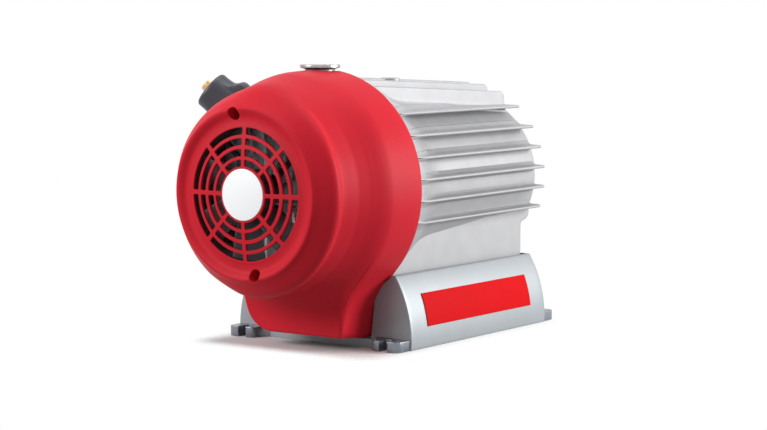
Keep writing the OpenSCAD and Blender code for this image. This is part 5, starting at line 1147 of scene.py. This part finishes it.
class PUMP_OT_stage(Operator):
    """Adds the floor, the lights, the world and the camera"""
    bl_idname = "pump.stage"
    bl_label = "Stage"

    def execute(self, context):
        s = context.scene.pump_stage
        known = set(frame["nodes"].values()) | set(frame["bodies"].values())
        for o in list(bpy.data.objects):
            if o not in known:
                bpy.data.objects.remove(o)
        az, el = np.radians(35.24), np.radians(5.10)
        back = Vector((np.sin(az) * np.cos(el), -np.cos(az) * np.cos(el), np.sin(el)))
        lens = bpy.data.cameras.new("camera")
        lens.lens, lens.sensor_width = s.lens, 36.0
        context.scene.camera = self.stand(context, "camera", lens,
                                          (1.22292, -1.75521, 0.30864), back)
        middle = Vector((0.0, -0.05, 0.14))
        for name, at, watts, size in (("key", (1.28, 0.8, 0.5), s.key, 0.9),
                                      ("fill", (-0.9, -1.5, 0.85), s.fill, 1.0),
                                      ("top", (0.15, 0.0, 1.75), s.top, 1.4)):
            lamp = bpy.data.lights.new(name, "AREA")
            lamp.energy, lamp.size, lamp.shape = watts, size, "DISK"
            self.stand(context, name, lamp, at, Vector(at) - middle)
        self.world(context, s)
        self.floor(context)
        context.scene.view_settings.view_transform = "Standard"
        return {"FINISHED"}

    def stand(self, context, name, data, at, back):
        """Puts a camera or a lamp at a place, with its back to a direction."""
        o = bpy.data.objects.new(name, data)
        context.scene.collection.objects.link(o)
        o.location = at
        o.rotation_euler = back.to_track_quat("Z", "Y").to_euler()
        return o

    def world(self, context, s):
        """A soft room for the light, and white where the camera, gloss or glass sees past."""
        world = bpy.data.worlds.new("room")
        context.scene.world = world
        world.use_nodes = True
        t = world.node_tree
        t.nodes.clear()
        out = node(t, "ShaderNodeOutputWorld")
        mix = node(t, "ShaderNodeMixShader")
        soft = node(t, "ShaderNodeBackground", {"Color": (0.93, 0.96, 1.0, 1.0),
                                                "Strength": s.ambient})
        white = node(t, "ShaderNodeBackground", {"Color": (1.0, 1.0, 1.0, 1.0), "Strength": 1.0})
        path = node(t, "ShaderNodeLightPath")
        first, second = (node(t, "ShaderNodeMath", operation="MAXIMUM") for _ in range(2))
        link(t, (path.outputs["Is Camera Ray"], first.inputs[0]),
             (path.outputs["Is Glossy Ray"], first.inputs[1]),
             (first.outputs[0], second.inputs[0]),
             (path.outputs["Is Transmission Ray"], second.inputs[1]),
             (second.outputs[0], mix.inputs[0]), (soft.outputs[0], mix.inputs[1]),
             (white.outputs[0], mix.inputs[2]), (mix.outputs[0], out.inputs[0]))

    def floor(self, context):
        """A flat floor that fades into the white background by its distance from a box under the
        pump: the length of max(|p - middle| - half, 0)."""
        size, rings, spokes = 1.6, 12, 96
        p = turned(np.linspace(0.0, size, rings)[:, None], round_angles(spokes), -0.0001)
        mesh = bpy.data.meshes.new("floor")
        mesh.from_pydata(p.reshape(-1, 3), [], quads(rings, spokes, wrap_m=True).tolist())
        mat = bpy.data.materials.new("floor_white")
        mat.use_nodes = True
        t = mat.node_tree
        t.nodes.clear()
        out = node(t, "ShaderNodeOutputMaterial")
        mix = node(t, "ShaderNodeMixShader")
        cover = node(t, "ShaderNodeBsdfDiffuse", {"Color": (0.7, 0.7, 0.7, 1.0)})
        clear = node(t, "ShaderNodeBsdfTransparent")
        where = node(t, "ShaderNodeTexCoord")
        from_middle, across, beyond, clip, far = (
            node(t, "ShaderNodeVectorMath", {1: value} if value else None, operation=kind)
            for kind, value in (("SUBTRACT", (0.0, -0.03, 0.0)), ("ABSOLUTE", None),
                                ("SUBTRACT", (0.085, 0.145, 0.0)), ("MAXIMUM", (0.0, 0.0, 0.0)),
                                ("LENGTH", None)))
        fade = node(t, "ShaderNodeMapRange", {"From Min": 0.004, "From Max": 0.04},
                    interpolation_type="SMOOTHSTEP")
        link(t, (where.outputs["Object"], from_middle.inputs[0]),
             (from_middle.outputs[0], across.inputs[0]), (across.outputs[0], beyond.inputs[0]),
             (beyond.outputs[0], clip.inputs[0]), (clip.outputs[0], far.inputs[0]),
             (far.outputs["Value"], fade.inputs["Value"]),
             (fade.outputs["Result"], mix.inputs[0]), (cover.outputs[0], mix.inputs[1]),
             (clear.outputs[0], mix.inputs[2]), (mix.outputs[0], out.inputs[0]))
        mesh.materials.append(mat)
        floor = bpy.data.objects.new("floor", mesh)
        context.scene.collection.objects.link(floor)


class PUMP_OT_details(Operator):
    """Gives every CAD node that is shown as it is its own finish"""
    bl_idname = "pump.details"
    bl_label = "Details"

    def execute(self, context):
        for name, o in frame["nodes"].items():
            slot = slot_of(name)
            look = SLOT_FINISHES.get(slot, slot)
            mat = fixed(look if look in FINISHES else "machined_metal")
            if not o.data.materials:
                o.data.materials.append(mat)
            for material_slot in o.material_slots:
                material_slot.material = mat
        return {"FINISHED"}


class PUMP_OT_hood(Operator):
    """Builds the hood with its grille, screw wells and skirt, and the hub's disc"""
    bl_idname = "pump.hood"
    bl_label = "Hood"

    def execute(self, context):
        paint = tinted("hood_paint", context.scene.pump_hood.paint, 0.93, rough=0.5,
                       rough_spread=0.05, grain=0.0005, bump=0.03, patch=0.05, specular=0.09)
        skirt_shell(hood_shell()).make("hood_shell", "pump", "hood_red", paint, ["fan_hood"],
                                       sharp=30.0)
        disc_shell().make("hub_cap", "pump", "hub_white", fixed("hub_white"), ["hub_disc"])
        return {"FINISHED"}


class PUMP_OT_fan(Operator):
    """Builds the fan's hub and blades"""
    bl_idname = "pump.fan"
    bl_label = "Fan"

    def execute(self, context):
        rotor_shell().make("fan_blades", "fan", "fan_black", fixed("fan_black"), ["fan_rotor"])
        return {"FINISHED"}


class PUMP_OT_housing(Operator):
    """Builds the finned housing with its bosses and foot"""
    bl_idname = "pump.housing"
    bl_label = "Housing"

    def execute(self, context):
        housing_shell().make("housing_shell", "pump", "housing_cast", cast_metal(), ["housing"],
                             sharp=40.0)
        return {"FINISHED"}


class PUMP_OT_base(Operator):
    """Builds the base with its lugs, and the plate on its flank"""
    bl_idname = "pump.base"
    bl_label = "Base"

    def execute(self, context):
        s = context.scene.pump_base
        metal = tinted("base_metal", s.metal, 0.95, rough=0.42, metal=0.3, grain=0.0005, bump=0.07)
        enamel = tinted("plate_enamel", s.plate, 0.97, rough=0.5, bump=0.01, specular=0.03)
        base_shell().make("base_shell", "pump", "base_silver", metal, ["base"], sharp=35.0)
        lugs_shell().make("base_lugs", "pump", "base_silver", fixed("lug_metal"), sharp=35.0)
        plate_shell().make("plate_shell", "pump", "plate_red", enamel, ["red_plate"])
        return {"FINISHED"}


class PUMP_OT_fittings(Operator):
    """Builds the port flanges, the lifting plug and the ballast valve's knob and fitting"""
    bl_idname = "pump.fittings"
    bl_label = "Fittings"

    def execute(self, context):
        metal = fixed("machined_metal")
        flange_shell(INLET_D, 276.3, 20.0, 3.0, 15.0, 13.0, 19.8).make(
            "inlet_ring", "pump", "flange_aluminium", metal, ["inlet_flange"])
        flange_shell(EXHAUST_D, 261.0, 15.0, 2.6, 10.5, 8.0, 5.2).make(
            "exhaust_ring", "pump", "flange_aluminium", metal, ["exhaust_flange"])
        plug_shell().make("plug_cap", "pump", slot_of("lifting_plug"), cast_metal(),
                          ["lifting_plug"])
        knob_shell().make("knob_shell", "ballast_knob", "valve_black", fixed("valve_plastic"),
                          ["valve_knob"], sharp=40.0)
        fitting_shell().make("filter_fitting", "ballast_knob", "filter_brass",
                             fixed("filter_brass"), ["valve_filter"])
        return {"FINISHED"}


class PUMP_PT_panel(Panel):
    """Lists the steps that build the pump"""
    bl_idname = "PUMP_PT_panel"
    bl_label = "Dry scroll pump"
    bl_space_type = "VIEW_3D"
    bl_region_type = "UI"
    bl_category = "Pump"

    def draw(self, context):
        for op in OPERATORS:
            self.layout.operator(op.bl_idname)


SETTINGS = {"pump_hood": HoodSettings, "pump_housing": HousingSettings, "pump_base": BaseSettings,
            "pump_stage": StageSettings}
OPERATORS = (PUMP_OT_stage, PUMP_OT_details, PUMP_OT_hood, PUMP_OT_fan, PUMP_OT_housing,
             PUMP_OT_base, PUMP_OT_fittings)


def register():
    for c in (*SETTINGS.values(), *OPERATORS, PUMP_PT_panel):
        bpy.utils.register_class(c)
    for name, c in SETTINGS.items():
        setattr(bpy.types.Scene, name, PointerProperty(type=c))


def unregister():
    for name in SETTINGS:
        delattr(bpy.types.Scene, name)
    for c in reversed((*SETTINGS.values(), *OPERATORS, PUMP_PT_panel)):
        bpy.utils.unregister_class(c)


def main():
    """Builds the pump's looks step by step."""
    register()
    bpy.ops.pump.stage()
    bpy.ops.pump.details()
    bpy.ops.pump.hood()
    bpy.ops.pump.fan()
    bpy.ops.pump.housing()
    bpy.ops.pump.base()
    bpy.ops.pump.fittings()


if __name__ == "__main__":
    main()
